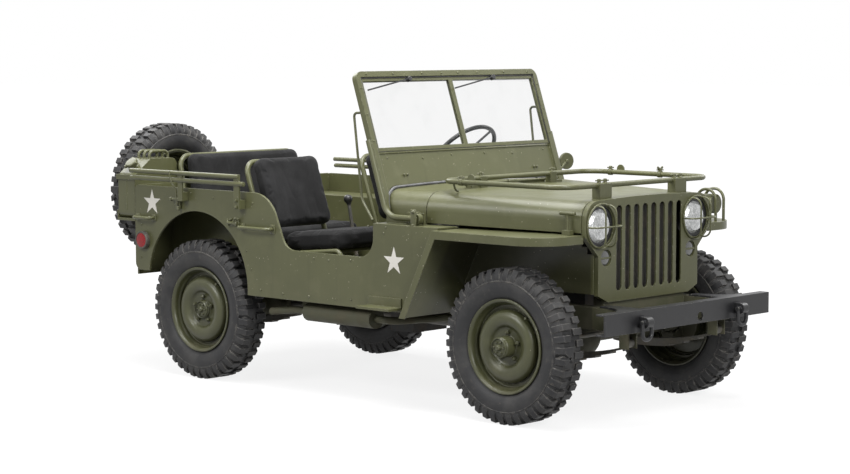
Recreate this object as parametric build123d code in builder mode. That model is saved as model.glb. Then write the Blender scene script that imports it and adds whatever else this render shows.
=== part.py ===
"""Army 4x4 car, full size, as an assembly of named pieces.

X runs forward, Y to the driver's side and Z up. The origin lies on the ground
under the middle of the bounding box. Sizes are in millimetres and degrees.
"""
import os
from math import atan2, cos, degrees, radians, sin, tan

from build123d import *

os.makedirs("parts", exist_ok=True)

# Wheels and axles
wheelbase = 2032.0
track = 1244.0
tyre_radius = 352.0
tyre_width = 160.0
lug_depth = 14.0
lug_count = 42
lug_width = 30.0
rim_radius = 215.0
rim_depth = 70.0
bead_radius = 203.0
well_radius = 186.0
spindle_radius = 22.0
front_hub_reach = 100.0
rear_hub_reach = 54.0
kingpin_y = 545.0
axle_radius = 38.0
final_drive_radius = 105.0
final_drive_y = -165.0
steer_arm = 150.0

# Stations along the car, ahead of or behind the front axle
bumper_ahead = 515.0
shackle_reach = 55.0
grille_ahead = 280.0
grille_depth = 24.0
fender_ahead = 270.0
hood_ahead = 254.0
hinge_behind = 548.0
cowl_behind = 775.0
door_behind = 795.0
tail_overhang = 478.0
spare_standoff = 230.0

# Widths and heights
body_half_width = 702.0
fender_proud = 43.0
step_reach = 88.0
screen_inset = 47.0
hood_inset = 102.0
cowl_inset = 70.0
wheel_house_width = 235.0
seat_half = 213.0
seat_wall_gap = 72.0
body_bottom = 455.0
sill_top = 697.0
seam_top = 860.0
body_top = 964.0
rail_bottom = 420.0
rail_top = 520.0
rail_inner = 300.0
rail_outer = 365.0
skirt_y = 372.0
fender_top = 850.0
screen_top = 1562.0
screen_foot = 1045.0
screen_lean = 18.8

# Thicknesses and clearances
sheet = 8.0
panel = 12.0
running_gap = 0.3
moving_gap = 6.0

# Values that follow from those above
front_reach = bumper_ahead + shackle_reach
rear_reach = wheelbase + tail_overhang + spare_standoff + tyre_width / 2
front_x = (rear_reach - front_reach) / 2
rear_x = front_x - wheelbase
tail_x = rear_x - tail_overhang
wheel_y = track / 2
axle_z = tyre_radius
floor_top = rail_top + sheet
inner_wall = body_half_width - panel
fender_half_width = body_half_width + fender_proud
step_half_width = body_half_width + step_reach
screen_half_width = body_half_width - screen_inset
seat_y = inner_wall - seat_wall_gap - seat_half
house_y = inner_wall - wheel_house_width


def save(piece, name):
    piece.label = name
    export_step(piece, f"parts/{name}.step")


def bent_tube(points, bend, radius):
    """A round tube along straight runs with rounded corners."""
    with BuildPart() as tube:
        with BuildLine() as path:
            FilletPolyline(*points, radius=bend)
        with BuildSketch(Plane(origin=path.line @ 0, z_dir=path.line % 0)):
            Circle(radius)
        sweep(path=path.line)
    return tube.part


def straight_bar(start, end, radius):
    """A round bar between two points."""
    span = Vector(*end) - Vector(*start)
    with BuildPart() as bar:
        with BuildSketch(Plane(origin=start, z_dir=span)):
            Circle(radius)
        extrude(amount=span.length)
    return bar.part


def block(x0, x1, y0, y1, z0, z1, mode=Mode.ADD):
    """A box between two corners, inside the part that is being built."""
    with Locations(((x0 + x1) / 2, (y0 + y1) / 2, (z0 + z1) / 2)):
        Box(abs(x1 - x0), abs(y1 - y0), abs(z1 - z0), mode=mode)


def across(y):
    """The upright plane at one Y, looking to the passenger's side."""
    return Plane.XZ.offset(-y)


# Wheels: the disc, rim and hub turned in one, and the tyre out to its lug tips
disc_out = 58.0
hub_plate = 36.0
drum_in = -14.0
drum_radius = 112.0


def turned_wheel(hub_reach):
    """A wheel about the Y axis, its outer face towards -Y."""
    with BuildPart() as wheel:
        with BuildSketch(Plane.XY):
            with BuildLine():
                outer = Polyline(
                    (0, -hub_reach), (36, -hub_reach), (47, 10 - hub_reach),
                    (47, -hub_plate), (78, -hub_plate), (98, -disc_out))
                crown = ThreePointArc(outer @ 1, (135, -disc_out - 6), (164, 6 - disc_out))
                Polyline(
                    crown @ 1, (180, -20), (well_radius, -20), (well_radius, -32),
                    (194, -42), (198, 8 - rim_depth), (rim_radius - 6, -rim_depth),
                    (rim_radius, -rim_depth), (rim_radius, 8 - rim_depth),
                    (bead_radius, 12 - rim_depth), (bead_radius, -36),
                    (well_radius + 6, -28), (well_radius + 6, 28), (bead_radius, 36),
                    (bead_radius, rim_depth - 12), (rim_radius, rim_depth - 8),
                    (rim_radius, rim_depth), (rim_radius - 6, rim_depth),
                    (198, rim_depth - 8), (194, 42), (well_radius, 32), (well_radius, -12),
                    (174, -12), (160, 16 - disc_out), (104, 16 - disc_out), (88, -24),
                    (drum_radius, -24), (drum_radius, -drum_in),
                    (spindle_radius + running_gap, -drum_in),
                    (spindle_radius + running_gap, 8 - hub_plate), (0, 8 - hub_plate),
                    (0, -hub_reach))
            make_face()
        revolve(axis=Axis.Y)
    return wheel.part


half = tyre_width / 2
groove = tyre_radius - lug_depth
lug_top = (tyre_radius ** 2 - (lug_width / 2) ** 2) ** 0.5
lug_ends = (4.0, 20.0)
shoulder_drop = 40.0
with BuildPart() as tyre_build:
    with BuildSketch(Plane.XY):
        with BuildLine():
            widest = (tyre_radius - 80, half)
            bead = Polyline((bead_radius + running_gap, 0), (bead_radius + running_gap, half - 28),
                            (rim_radius + 3, half - 20))
            TangentArc(widest, bead @ 1, tangent=(-1, 0))
            wall = TangentArc(widest, (groove - 16, half - 10), tangent=(1, 0))
            Polyline(wall @ 1, (groove, half - 24), (groove, 0))
            mirror(about=Plane.XZ)
        make_face()
    revolve(axis=Axis.Y)
    for side in (-1, 1):
        for i in range(lug_count):
            turn = (i + 0.25 * side) * 360 / lug_count
            lug_end = lug_ends[i % 2]
            with BuildSketch(Plane.XY.rotated((0, turn, 0))):
                with BuildLine():
                    Polyline((groove - 6, side * lug_end), (lug_top, side * lug_end),
                             (lug_top, side * (half - 18)),
                             (lug_top - shoulder_drop, side * (half - 1)),
                             (lug_top - shoulder_drop, side * (half - 22)), close=True)
                make_face()
    extrude(amount=lug_width / 2, both=True)
tyre = tyre_build.part

wheel_table = [
    # name, x, side, hub reach
    ("front_right", front_x, -1, front_hub_reach),
    ("front_left", front_x, 1, front_hub_reach),
    ("rear_right", rear_x, -1, rear_hub_reach),
    ("rear_left", rear_x, 1, rear_hub_reach),
]
for name, x, side, hub_reach in wheel_table:
    turned = turned_wheel(hub_reach)
    place = Location((x, side * wheel_y, axle_z), (0, 0, 90 + 90 * side))
    save(place * turned, f"wheel_{name}")
    save(place * tyre, f"tyre_{name}")

# Frame: rails, cross members and the spring hangers
rail_front = front_x + bumper_ahead - 50
rail_rear = tail_x + 70
with BuildPart() as frame_rails:
    block(rail_rear, rail_front, -rail_outer, -rail_inner, rail_bottom, rail_top)
    mirror(about=Plane.XZ)
save(frame_rails.part, "frame_rails")

member_table = [
    # centre, length, bottom, top
    (front_x + grille_ahead - grille_depth - 30, 60, rail_top - 40, rail_top + 40),
    (front_x - 230, 60, rail_bottom + 10, rail_bottom + 50),
    (front_x - 1300, 60, rail_bottom + 10, rail_top),
    (rear_x + 330, 60, rail_bottom + 10, rail_top),
    (rail_rear + 30, 60, rail_bottom, rail_top),
]
with BuildPart() as cross_members:
    for x, length, bottom, top in member_table:
        block(x - length / 2, x + length / 2, -rail_inner, rail_inner, bottom, top)
save(cross_members.part, "cross_members")

spring_y = (rail_inner + rail_outer) / 2
spring_half_width = 22.0
eye_radius = 20.0
eye_z = 372.0
leaf = 9.0
leaf_count = 4
spring_seat = 300.0
spring_table = [
    # axle x, half length
    (front_x, 420),
    (rear_x, 440),
]
with BuildPart() as spring_hangers:
    for x, half in spring_table:
        for end in (-1, 1):
            for plate_y in (rail_inner, rail_outer - 7):
                block(x + end * half - 26, x + end * half + 26, -plate_y - 7, -plate_y,
                      eye_z - 24, rail_bottom)
            with BuildSketch(across(-rail_inner - 3)):
                with Locations((x + end * half, eye_z)):
                    Circle(9)
            extrude(amount=rail_outer - rail_inner - 6)
    mirror(about=Plane.XZ)
save(spring_hangers.part, "spring_hangers")

with BuildPart() as leaf_springs:
    for x, half in spring_table:
        rise = eye_z - eye_radius + leaf - spring_seat
        with BuildSketch(across(spring_half_width - spring_y)):
            for i in range(leaf_count):
                reach = half * (1 - 0.2 * i)
                mid = spring_seat - 2 * running_gap - leaf * i
                tip = mid + rise * (reach / half) ** 2
                with BuildLine():
                    top = ThreePointArc((x - reach, tip), (x, mid), (x + reach, tip))
                    end = Line(top @ 1, (x + reach, tip - leaf - 1))
                    low = ThreePointArc(end @ 1, (x, mid - leaf - 1), (x - reach, tip - leaf - 1))
                    Line(low @ 1, top @ 0)
                make_face()
            with Locations((x - half, eye_z), (x + half, eye_z)):
                Circle(eye_radius)
                Circle(9 + running_gap, mode=Mode.SUBTRACT)
        extrude(amount=2 * spring_half_width)
    mirror(about=Plane.XZ)
save(leaf_springs.part, "leaf_springs")

# Axles, dampers, shafts and the power unit
damper_y = rail_outer + 34
damper_ahead = 64.0
backing_y = 600.0
ball_radius = 46.0


def axle_beam(x, half, nose):
    """Axle tube with its final drive, spring seats and damper feet."""
    with Locations((x, 0, axle_z)):
        Cylinder(axle_radius, 2 * half, rotation=(90, 0, 0))
    with Locations((x, final_drive_y, axle_z)):
        Sphere(final_drive_radius)
    with Locations((x - nose * (final_drive_radius + 40) / 2, final_drive_y, axle_z)):
        Cylinder(52, final_drive_radius + 40, rotation=(0, 90, 0))
    for side in (-1, 1):
        block(x - 30, x + 30, side * (spring_y - 28), side * (spring_y + 28),
              spring_seat, axle_z)
        block(x, x + nose * (damper_ahead + 24), side * (damper_y - 20),
              side * (damper_y + 20), axle_z - 24, axle_z - 10)


with BuildPart() as front_axle:
    axle_beam(front_x, kingpin_y, 1)
    for side in (-1, 1):
        with Locations((front_x, side * kingpin_y, axle_z)):
            Sphere(ball_radius)
            Cylinder(12 + running_gap, 4 * ball_radius, mode=Mode.SUBTRACT)
save(front_axle.part, "front_axle")

with BuildPart() as rear_axle:
    axle_beam(rear_x, backing_y, -1)
    for side in (-1, 1):
        with Locations((rear_x, side * (backing_y - 3), axle_z)):
            Cylinder(drum_radius + 6, 8, rotation=(90, 0, 0))
        with Locations((rear_x, side * (backing_y + 22), axle_z)):
            Cylinder(spindle_radius, 48, rotation=(90, 0, 0))
save(rear_axle.part, "rear_axle")

with BuildPart() as dampers:
    for x in (front_x + damper_ahead, rear_x - damper_ahead):
        with Locations((x, -damper_y, axle_z - 10)):
            Cylinder(24, 90, align=(Align.CENTER, Align.CENTER, Align.MIN))
        with Locations((x, -damper_y, axle_z + 70)):
            Cylinder(30, 80, align=(Align.CENTER, Align.CENTER, Align.MIN))
        block(x - 16, x + 16, -damper_y, -rail_outer, axle_z + 120, axle_z + 148)
    mirror(about=Plane.XZ)
save(dampers.part, "dampers")

engine_half_width = 190.0
gearbox_half_width = 110.0
transfer_front = front_x - 970
transfer_rear = front_x - 1125
engine_bottom = rail_bottom + 50
with BuildPart() as power_unit:
    block(front_x - 470, front_x + 60, -engine_half_width, engine_half_width, engine_bottom, 880)
    block(transfer_rear, front_x - 470, -gearbox_half_width, gearbox_half_width,
          335, rail_top - 10)
    block(transfer_rear, transfer_front, final_drive_y - 75, 0, 285, engine_bottom)
save(power_unit.part, "power_unit")

shaft_table = [
    # rear end, front end
    (transfer_front, front_x - final_drive_radius - 40),
    (rear_x + final_drive_radius + 40, transfer_rear),
]
with BuildPart() as propeller_shafts:
    for back, front in shaft_table:
        with BuildSketch(Plane.YZ.offset(back)):
            with Locations((final_drive_y, axle_z)):
                Circle(25)
        extrude(amount=front - back)
save(propeller_shafts.part, "propeller_shafts")

with BuildPart() as radiator:
    block(front_x + 198, front_x + 240, -250, 250, rail_top + 40, 960)
save(radiator.part, "radiator")

muffler_y = -622.0
muffler_z = 398.0
pipe_radius = 18.0
with BuildPart() as exhaust:
    with BuildSketch(Plane.YZ.offset(front_x - 1300)):
        with Locations((muffler_y, muffler_z)):
            Ellipse(52, 46)
    extrude(amount=450)
    add(bent_tube(
        [(front_x - 860, muffler_y, muffler_z), (front_x - 740, muffler_y, muffler_z),
         (front_x - 600, -240, muffler_z), (front_x - 420, -130, muffler_z),
         (front_x - 420, -130, engine_bottom)], 45, pipe_radius))
    add(bent_tube(
        [(front_x - 1290, muffler_y, muffler_z), (front_x - 1400, muffler_y, muffler_z),
         (front_x - 1560, muffler_y - 10, muffler_z - 20)], 60, pipe_radius))
save(exhaust.part, "exhaust")

# Bumper and towing shackles
bumper_bottom = 433.0
bumper_top = 530.0
bumper_half_length = 618.0
bumper_x = front_x + bumper_ahead
crank_hole_y = 75.0
crank_hole_z = 463.0
crank_hole_radius = 21.0
gusset_length = 180.0
gusset_spread = 165.0
with BuildPart() as front_bumper:
    block(bumper_x - 50, bumper_x, -bumper_half_length, bumper_half_length,
          bumper_bottom, bumper_top)
    block(bumper_x - 50, bumper_x - sheet, -bumper_half_length, bumper_half_length,
          bumper_bottom + sheet, bumper_top - sheet, mode=Mode.SUBTRACT)
    with BuildSketch(Plane.YZ.offset(bumper_x - 20)):
        with Locations((crank_hole_y, crank_hole_z)):
            Circle(crank_hole_radius)
    extrude(amount=40, mode=Mode.SUBTRACT)
    for side in (-1, 1):
        with BuildSketch(Plane.XY.offset(rail_top)):
            with BuildLine():
                edge = Polyline((rail_front - gusset_length, side * rail_outer),
                                (rail_front - gusset_length, side * rail_inner),
                                (rail_front, side * rail_inner),
                                (rail_front, side * (rail_outer + gusset_spread)))
                ThreePointArc(edge @ 1, (rail_front - 0.28 * gusset_length,
                                         side * (rail_outer + 0.26 * gusset_spread)), edge @ 0)
            make_face()
        extrude(amount=sheet)
save(front_bumper.part, "front_bumper")

shackle_y = 360.0
shackle_z = 478.0
shackle_x = bumper_x + shackle_reach - 25
with BuildPart() as tow_shackles:
    with BuildSketch(across(20 - shackle_y)):
        with Locations((shackle_x, shackle_z)):
            Circle(25)
        with Locations(((bumper_x + shackle_x) / 2, shackle_z)):
            Rectangle(shackle_x - bumper_x, 50)
    extrude(amount=40)
    add(straight_bar((shackle_x, -shackle_y - 40, shackle_z),
                     (shackle_x, 40 - shackle_y, shackle_z), 10))
    add(bent_tube(
        [(shackle_x, -shackle_y - 31, shackle_z + 8), (shackle_x, -shackle_y - 34, shackle_z - 76),
         (shackle_x, 34 - shackle_y, shackle_z - 76), (shackle_x, 31 - shackle_y, shackle_z + 8)],
        30, 9))
    mirror(about=Plane.XZ)
save(tow_shackles.part, "tow_shackles")

# Floor, body sides, tail panel and wheel houses
house_front = rear_x + 400
house_top = 863.0
house_lean = 70.0
firewall_x = front_x - hinge_behind - 4
toe_foot = firewall_x - 90
column_y = rail_outer - 15
column_rake = 40.0
wheel_hub = Vector(front_x - 1188, column_y, 1114)
column_way = Vector(cos(radians(column_rake)), 0, -sin(radians(column_rake)))
column_radius = 19.0
column_length = 893.0

with BuildPart() as floor:
    block(house_front, firewall_x - sheet, -inner_wall, inner_wall, rail_top, floor_top)
    block(tail_x + panel, house_front, -house_y, house_y, rail_top, floor_top)
    with BuildSketch(across(skirt_y - 1)):
        with BuildLine():
            Polyline((toe_foot, floor_top), (firewall_x - sheet, floor_top + 120),
                     (firewall_x - sheet, floor_top + 110), (toe_foot + 8, floor_top), close=True)
        make_face()
    extrude(amount=2 * (skirt_y - 1))
    with BuildSketch(Plane(origin=wheel_hub, z_dir=column_way)):
        Circle(column_radius + 1)
    extrude(amount=1000, mode=Mode.SUBTRACT)
save(floor.part, "floor")

apron_lean = degrees(atan2(204, 416))
apron_top_x = front_x - 387
arch_z = 476.0
arch_radius = 375.0
apron_run = tan(radians(apron_lean))


def apron_x(z):
    """Outer face of the sloping apron behind the front wheel."""
    return apron_top_x - apron_run * (fender_top - z)


with BuildPart() as body_sides:
    with BuildSketch(across(-inner_wall)):
        with BuildLine():
            FilletPolyline(
                (tail_x, 525), (tail_x, body_top), (front_x - 1500, body_top),
                (front_x - 1385, sill_top), (front_x - door_behind, sill_top),
                (front_x - door_behind, seam_top), (apron_x(seam_top), seam_top),
                (apron_x(body_bottom), body_bottom), (rear_x, body_bottom),
                (rear_x, 525), radius=[40, 25, 170, 90, 90, 0, 0, 0, 0, 0], close=True)
        make_face()
        with Locations((rear_x, arch_z)):
            Circle(arch_radius, mode=Mode.SUBTRACT)
    extrude(amount=panel)
    mirror(about=Plane.XZ)
save(body_sides.part, "body_sides")

with BuildPart() as tail_panel:
    block(tail_x, tail_x + panel, -inner_wall, inner_wall, 500, body_top)
save(tail_panel.part, "tail_panel")

with BuildPart() as wheel_houses:
    block(tail_x + panel, house_front - house_lean, -inner_wall, -house_y, house_top - sheet, house_top)
    with BuildSketch(across(-house_y)):
        with BuildLine():
            Polyline((tail_x + panel, rail_top), (house_front, rail_top),
                     (house_front - house_lean, house_top), (tail_x + panel, house_top), close=True)
        make_face()
    extrude(amount=sheet)
    with BuildSketch(across(-house_y)):
        with BuildLine():
            Polyline((house_front - sheet, rail_top), (house_front, rail_top),
                     (house_front - house_lean, house_top), (house_front - house_lean - sheet, house_top),
                     close=True)
        make_face()
    extrude(amount=wheel_house_width)
    mirror(about=Plane.XZ)
save(wheel_houses.part, "wheel_houses")

# Hood and cowl: one rounded section, drawn out along the car
hood_front_half = 465.0
hood_rear_half = body_half_width - hood_inset
cowl_rear_half = body_half_width - cowl_inset
hood_front_top = 1008.0
hood_rear_top = 1022.0
cowl_rear_top = 1026.0
hood_front_low = 858.0
hood_rear_low = 868.0
crown_rise = 14.0
section_radius = 85.0


def section(x, half, low, top, radius):
    """Closed section at one X: upright sides, round shoulders, a crowned top."""
    with BuildSketch(Plane.YZ.offset(x)) as face:
        with BuildLine():
            crown = ThreePointArc((-half, top - crown_rise), (0, top), (half, top - crown_rise))
            Polyline(crown @ 1, (half, low), (-half, low), crown @ 0)
        make_face()
        fillet(face.vertices().sort_by(Axis.Y)[-2:], radius)
    return face.sketch.face()


hood_front_x = front_x + hood_ahead
hood_rear_x = front_x - hinge_behind
hinge_z = hood_rear_top + 12
hinge_radius = 6.0
with BuildPart() as hood:
    loft([section(hood_front_x, hood_front_half, hood_front_low, hood_front_top, section_radius),
          section(hood_rear_x, hood_rear_half, hood_rear_low, hood_rear_top, section_radius)])
    loft([section(hood_front_x + 1, hood_front_half - sheet, hood_front_low - 1,
                  hood_front_top - sheet, section_radius - sheet),
          section(hood_rear_x - 1, hood_rear_half - sheet, hood_rear_low - 1,
                  hood_rear_top - sheet, section_radius - sheet)], mode=Mode.SUBTRACT)
    for y in (-300, 0, 300):
        block(hood_rear_x, hood_rear_x + 40, y - 30, y + 30, hood_rear_top - 8, hinge_z - 5)
        with Locations((hood_rear_x, y, hinge_z)):
            Cylinder(hinge_radius + 4, 60, rotation=(90, 0, 0))
    with Locations((hood_rear_x, 0, hinge_z)):
        Cylinder(hinge_radius + running_gap, 800, rotation=(90, 0, 0), mode=Mode.SUBTRACT)
save(hood.part, "hood")

pivot_x = front_x - 550
pivot_z = 890.0
pivot_pin = 10.0
cowl_front_x = hood_rear_x - 4
cowl_rear_x = front_x - cowl_behind
dash_low = seam_top - 20
side_tube_y = screen_half_width + 5
side_tube_radius = 14.0
with BuildPart() as cowl:
    loft([section(cowl_front_x, hood_rear_half, seam_top, hood_rear_top, section_radius),
          section(cowl_rear_x, cowl_rear_half, seam_top, cowl_rear_top, section_radius)])
    loft([section(cowl_front_x - sheet, hood_rear_half - sheet, seam_top - 1,
                  hood_rear_top - sheet, section_radius - sheet),
          section(cowl_rear_x + sheet, cowl_rear_half - sheet, seam_top - 1,
                  cowl_rear_top - sheet, section_radius - sheet)], mode=Mode.SUBTRACT)
    block(cowl_rear_x, cowl_rear_x + sheet, 20 - cowl_rear_half, cowl_rear_half - 20,
          dash_low, seam_top + 20)
    block(firewall_x - sheet, firewall_x, 1 - skirt_y, skirt_y - 1, floor_top, seam_top + 20)
    for side in (-1, 1):
        block(front_x - door_behind, apron_x(seam_top), side * (hood_rear_half - 30),
              side * inner_wall, seam_top - sheet, seam_top)
        block(pivot_x - 90, pivot_x - 34, side * (hood_rear_half - 4), side * (side_tube_y - 20),
              pivot_z - 30, pivot_z + 26)
        block(pivot_x - 90, pivot_x + 22, side * (side_tube_y - 30), side * (side_tube_y - 20),
              pivot_z - 26, pivot_z + 26)
        add(straight_bar((pivot_x, side * (side_tube_y - 24), pivot_z),
                         (pivot_x, side * (side_tube_y + 24), pivot_z), pivot_pin))
        add(straight_bar((pivot_x, side * (side_tube_y + 19), pivot_z),
                         (pivot_x, side * (side_tube_y + 25), pivot_z), 16))
    for y in (-150, 150):
        block(cowl_front_x - 40, cowl_front_x, y - 100, y + 100, hood_rear_top - 8, hinge_z - 4)
        block(cowl_front_x - 20, hood_rear_x, y - 100, y + 100, hinge_z - 6, hinge_z + 4)
    with Locations((hood_rear_x, 0, hinge_z)):
        Cylinder(hinge_radius, 680, rotation=(90, 0, 0))
    with BuildSketch(Plane(origin=wheel_hub, z_dir=column_way)):
        Circle(column_radius + 1)
    extrude(amount=1000, mode=Mode.SUBTRACT)
save(cowl.part, "cowl")

rail_z = 1062.0
rail_tube = 12.0
rail_half_width = 550.0
rail_front_x = front_x + 225
rail_back_x = front_x - 515
tag_x = front_x - 317
tag_width = 44.0
tag_rise = 38.0
rest_table = [
    # x, y, length, width
    (rail_front_x, 280, 46, 84),
    (rail_back_x, 255, 34, 44),
]
with BuildPart() as hood_rail:
    with BuildLine() as loop:
        FilletPolyline(
            (rail_back_x, 0, rail_z), (rail_back_x, -rail_half_width, rail_z),
            (rail_front_x, -rail_half_width, rail_z), (rail_front_x, 0, rail_z),
            radius=95)
    with BuildSketch(Plane(origin=loop.line @ 0, z_dir=loop.line % 0)):
        Circle(rail_tube)
    sweep(path=loop.line)
    for x, y, length, width in rest_table:
        block(x - length / 2, x + length / 2, -y - width / 2, width / 2 - y,
              hood_rear_top - 40, rail_z + 8)
    with BuildSketch(across(3 - rail_half_width)):
        with Locations((tag_x, rail_z)):
            Rectangle(tag_width, tag_rise - tag_width / 2, align=(Align.CENTER, Align.MIN))
        with Locations((tag_x, rail_z + tag_rise - tag_width / 2)):
            Circle(tag_width / 2)
    extrude(amount=6)
    mirror(about=Plane.XZ)
    add(hood.part, mode=Mode.SUBTRACT)
rests = hood_rail.part.solids().sort_by(SortBy.VOLUME)[-1]
save(rests, "hood_rail")

# Grille pan with its slots and lamp openings
slot_pitch = 63.7
slot_width = 40.0
slot_low = 587.0
slot_high = 972.0
lamp_y = 355.0
lamp_z = 885.0
lamp_hole = 92.0
marker_y = 315.0
marker_z = 740.0
marker_radius = 38.0
grille_skin = 8.0
grille_x = front_x + grille_ahead
with BuildPart() as grille:
    with BuildSketch(Plane.YZ.offset(grille_x - grille_depth)) as outline:
        with BuildLine():
            top = ThreePointArc((-462, 1008 - crown_rise), (0, 1008), (462, 1008 - crown_rise))
            right = Polyline(top @ 1, (462, 838), (371, 748), (371, 572), (300, 540))
            left = Polyline(top @ 0, (-462, 838), (-371, 748), (-371, 572), (-300, 540))
            Line(right @ 1, left @ 1)
        make_face()
        fillet(outline.vertices().sort_by(Axis.Y)[-2:], section_radius)
    extrude(amount=grille_depth)
    with BuildSketch(Plane.YZ.offset(grille_x - grille_depth)):
        offset(outline.sketch_local, amount=-10)
    extrude(amount=grille_depth - grille_skin, mode=Mode.SUBTRACT)
    with BuildSketch(Plane.YZ.offset(grille_x - 20)):
        with GridLocations(slot_pitch, 0, 8, 1):
            with Locations((0, (slot_low + slot_high) / 2)):
                SlotOverall(slot_high - slot_low, slot_width, rotation=90)
        with Locations((-lamp_y, lamp_z), (lamp_y, lamp_z)):
            Circle(lamp_hole)
        with Locations((-marker_y, marker_z), (marker_y, marker_z)):
            Circle(marker_radius)
    extrude(amount=40, mode=Mode.SUBTRACT)
save(grille.part, "grille")

# Lamps
lens_radius = 77.0
with BuildPart() as headlamps:
    with BuildSketch(Plane.YZ.offset(grille_x - 52)):
        with Locations((-lamp_y, lamp_z)):
            Circle(lamp_hole - 8)
    extrude(amount=26)
    with BuildSketch(Plane.YZ.offset(grille_x - 26)):
        with Locations((-lamp_y, lamp_z)):
            Circle(lamp_hole + 4)
    extrude(amount=18)
    with BuildSketch(Plane.YZ.offset(grille_x - 26)):
        with Locations((-lamp_y, lamp_z)):
            Circle(lens_radius + running_gap)
    extrude(amount=40, mode=Mode.SUBTRACT)
    mirror(about=Plane.XZ)
save(headlamps.part, "headlamps")

with BuildPart() as lamp_lenses:
    with BuildSketch(Plane.YZ.offset(grille_x - 26)):
        with Locations((-lamp_y, lamp_z)):
            Circle(lens_radius)
    extrude(amount=12)
    with BuildSketch(Plane.YZ.offset(grille_x - 14)):
        with Locations((-lamp_y, lamp_z)):
            Circle(lens_radius)
    extrude(amount=14, taper=50)
    mirror(about=Plane.XZ)
save(lamp_lenses.part, "lamp_lenses")

with BuildPart() as marker_lamps:
    with BuildSketch(Plane.YZ.offset(grille_x - 20)):
        with Locations((-marker_y, marker_z), (marker_y, marker_z)):
            Circle(marker_radius + 6)
    extrude(amount=20 - grille_skin)
    with BuildSketch(Plane.YZ.offset(grille_x - grille_skin)):
        with Locations((-marker_y, marker_z), (marker_y, marker_z)):
            Rectangle(2 * marker_radius - 4, 9)
    extrude(amount=6)
save(marker_lamps.part, "marker_lamps")

guard_wire = 4.0
guard_out = 58.0
with BuildPart() as lamp_guards:
    with Locations(Location((grille_x + 4.5, -lamp_y, lamp_z), (0, 90, 0))):
        Torus(lamp_hole + 8, guard_wire + 0.5)
    for offset_y in (-38, 38):
        reach = (lamp_hole ** 2 - offset_y ** 2) ** 0.5 + 8
        y = offset_y - lamp_y
        add(bent_tube([(grille_x + 4, y, lamp_z - reach), (grille_x + guard_out, y, lamp_z - reach),
                       (grille_x + guard_out, y, lamp_z + reach),
                       (grille_x + 4, y, lamp_z + reach)], 38, guard_wire))
    add(bent_tube([(grille_x + 4, -lamp_y - lamp_hole - 8, lamp_z),
                   (grille_x + guard_out, -lamp_y - lamp_hole - 8, lamp_z),
                   (grille_x + guard_out, lamp_hole + 8 - lamp_y, lamp_z),
                   (grille_x + 4, lamp_hole + 8 - lamp_y, lamp_z)], 38, guard_wire))
    mirror(about=Plane.XZ)
save(lamp_guards.part, "lamp_guards")

# Front fenders with their lips, inner skirts and aprons
lip_depth = 38.0
fender_corner = 185.0
skirt_low = 578.0
fender_front = front_x + fender_ahead
apron_low = 434.0
with BuildPart() as front_fenders:
    with BuildSketch(Plane.XY.offset(fender_top - sheet)):
        with BuildLine():
            FilletPolyline((apron_top_x, -skirt_y), (apron_top_x, -fender_half_width),
                           (fender_front, -fender_half_width), (fender_front, -skirt_y),
                           radius=[0, 0, fender_corner, 0], close=True)
        make_face()
    extrude(amount=sheet)
    with BuildSketch(Plane.XY.offset(fender_top - lip_depth)):
        with BuildLine():
            FilletPolyline((apron_top_x, -skirt_y), (apron_top_x, -fender_half_width),
                           (fender_front, -fender_half_width), (fender_front, -skirt_y),
                           radius=[0, 0, fender_corner, 0], close=True)
        make_face()
        with BuildLine():
            FilletPolyline((apron_top_x - 1, 1 - skirt_y), (apron_top_x - 1, 5 - fender_half_width),
                           (fender_front - 5, 5 - fender_half_width), (fender_front - 5, 1 - skirt_y),
                           radius=[0, 0, fender_corner - 5, 0], close=True)
        make_face(mode=Mode.SUBTRACT)
    extrude(amount=lip_depth)
    with BuildSketch(across(-skirt_y)):
        with BuildLine():
            Polyline((apron_x(fender_top), fender_top), (apron_x(apron_low), apron_low),
                     (apron_x(apron_low) + sheet + 1, apron_low),
                     (apron_x(fender_top) + sheet + 1, fender_top), close=True)
        make_face()
    extrude(amount=fender_half_width - skirt_y)
    with BuildSketch(across(5 - fender_half_width)):
        with BuildLine():
            Polyline((apron_x(fender_top), fender_top), (apron_x(apron_low), apron_low),
                     (apron_x(apron_low) + lip_depth, apron_low),
                     (apron_x(fender_top - lip_depth) + lip_depth, fender_top - lip_depth),
                     (apron_x(fender_top) + 60, fender_top), close=True)
        make_face()
    extrude(amount=5)
    with BuildSketch(across(-skirt_y)):
        with BuildLine():
            Polyline((apron_x(fender_top), fender_top), (apron_x(skirt_low), skirt_low),
                     (grille_x - grille_depth, skirt_low), (grille_x - grille_depth, lamp_z - 95),
                     (grille_x - 90, lamp_z - 95), (grille_x - 90, fender_top), close=True)
        make_face()
    extrude(amount=5)
    block(grille_x - 60, grille_x + 30, -466, 1 - skirt_y, fender_top - 90,
          fender_top + 20, mode=Mode.SUBTRACT)
    mirror(about=Plane.XZ)
save(front_fenders.part, "front_fenders")

# Windshield: frame with its side tubes, inner sash, panes and wipers
lean = radians(screen_lean)
screen_foot_x = front_x - 797
screen = Plane(origin=(screen_foot_x, 0, screen_foot), x_dir=(0, 1, 0),
               z_dir=(cos(lean), 0, sin(lean)))
frame_top = (screen_top - screen_foot - 15 * sin(lean)) / cos(lean)
sash_low = 148.0
sash_half = screen_half_width - 28
sash_high = frame_top - 28
pane_half = screen_half_width - 42
pane_low = 166.0
pane_high = sash_high - 21
mullion = 13.0
frame_depth = 30.0
stay_radius = 6.0
stay_rise = frame_top - 196


def screen_point(y, up, out=0.0):
    """A point of the windshield plane in car coordinates."""
    return screen.from_local_coords(Vector(y, up, out))


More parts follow.
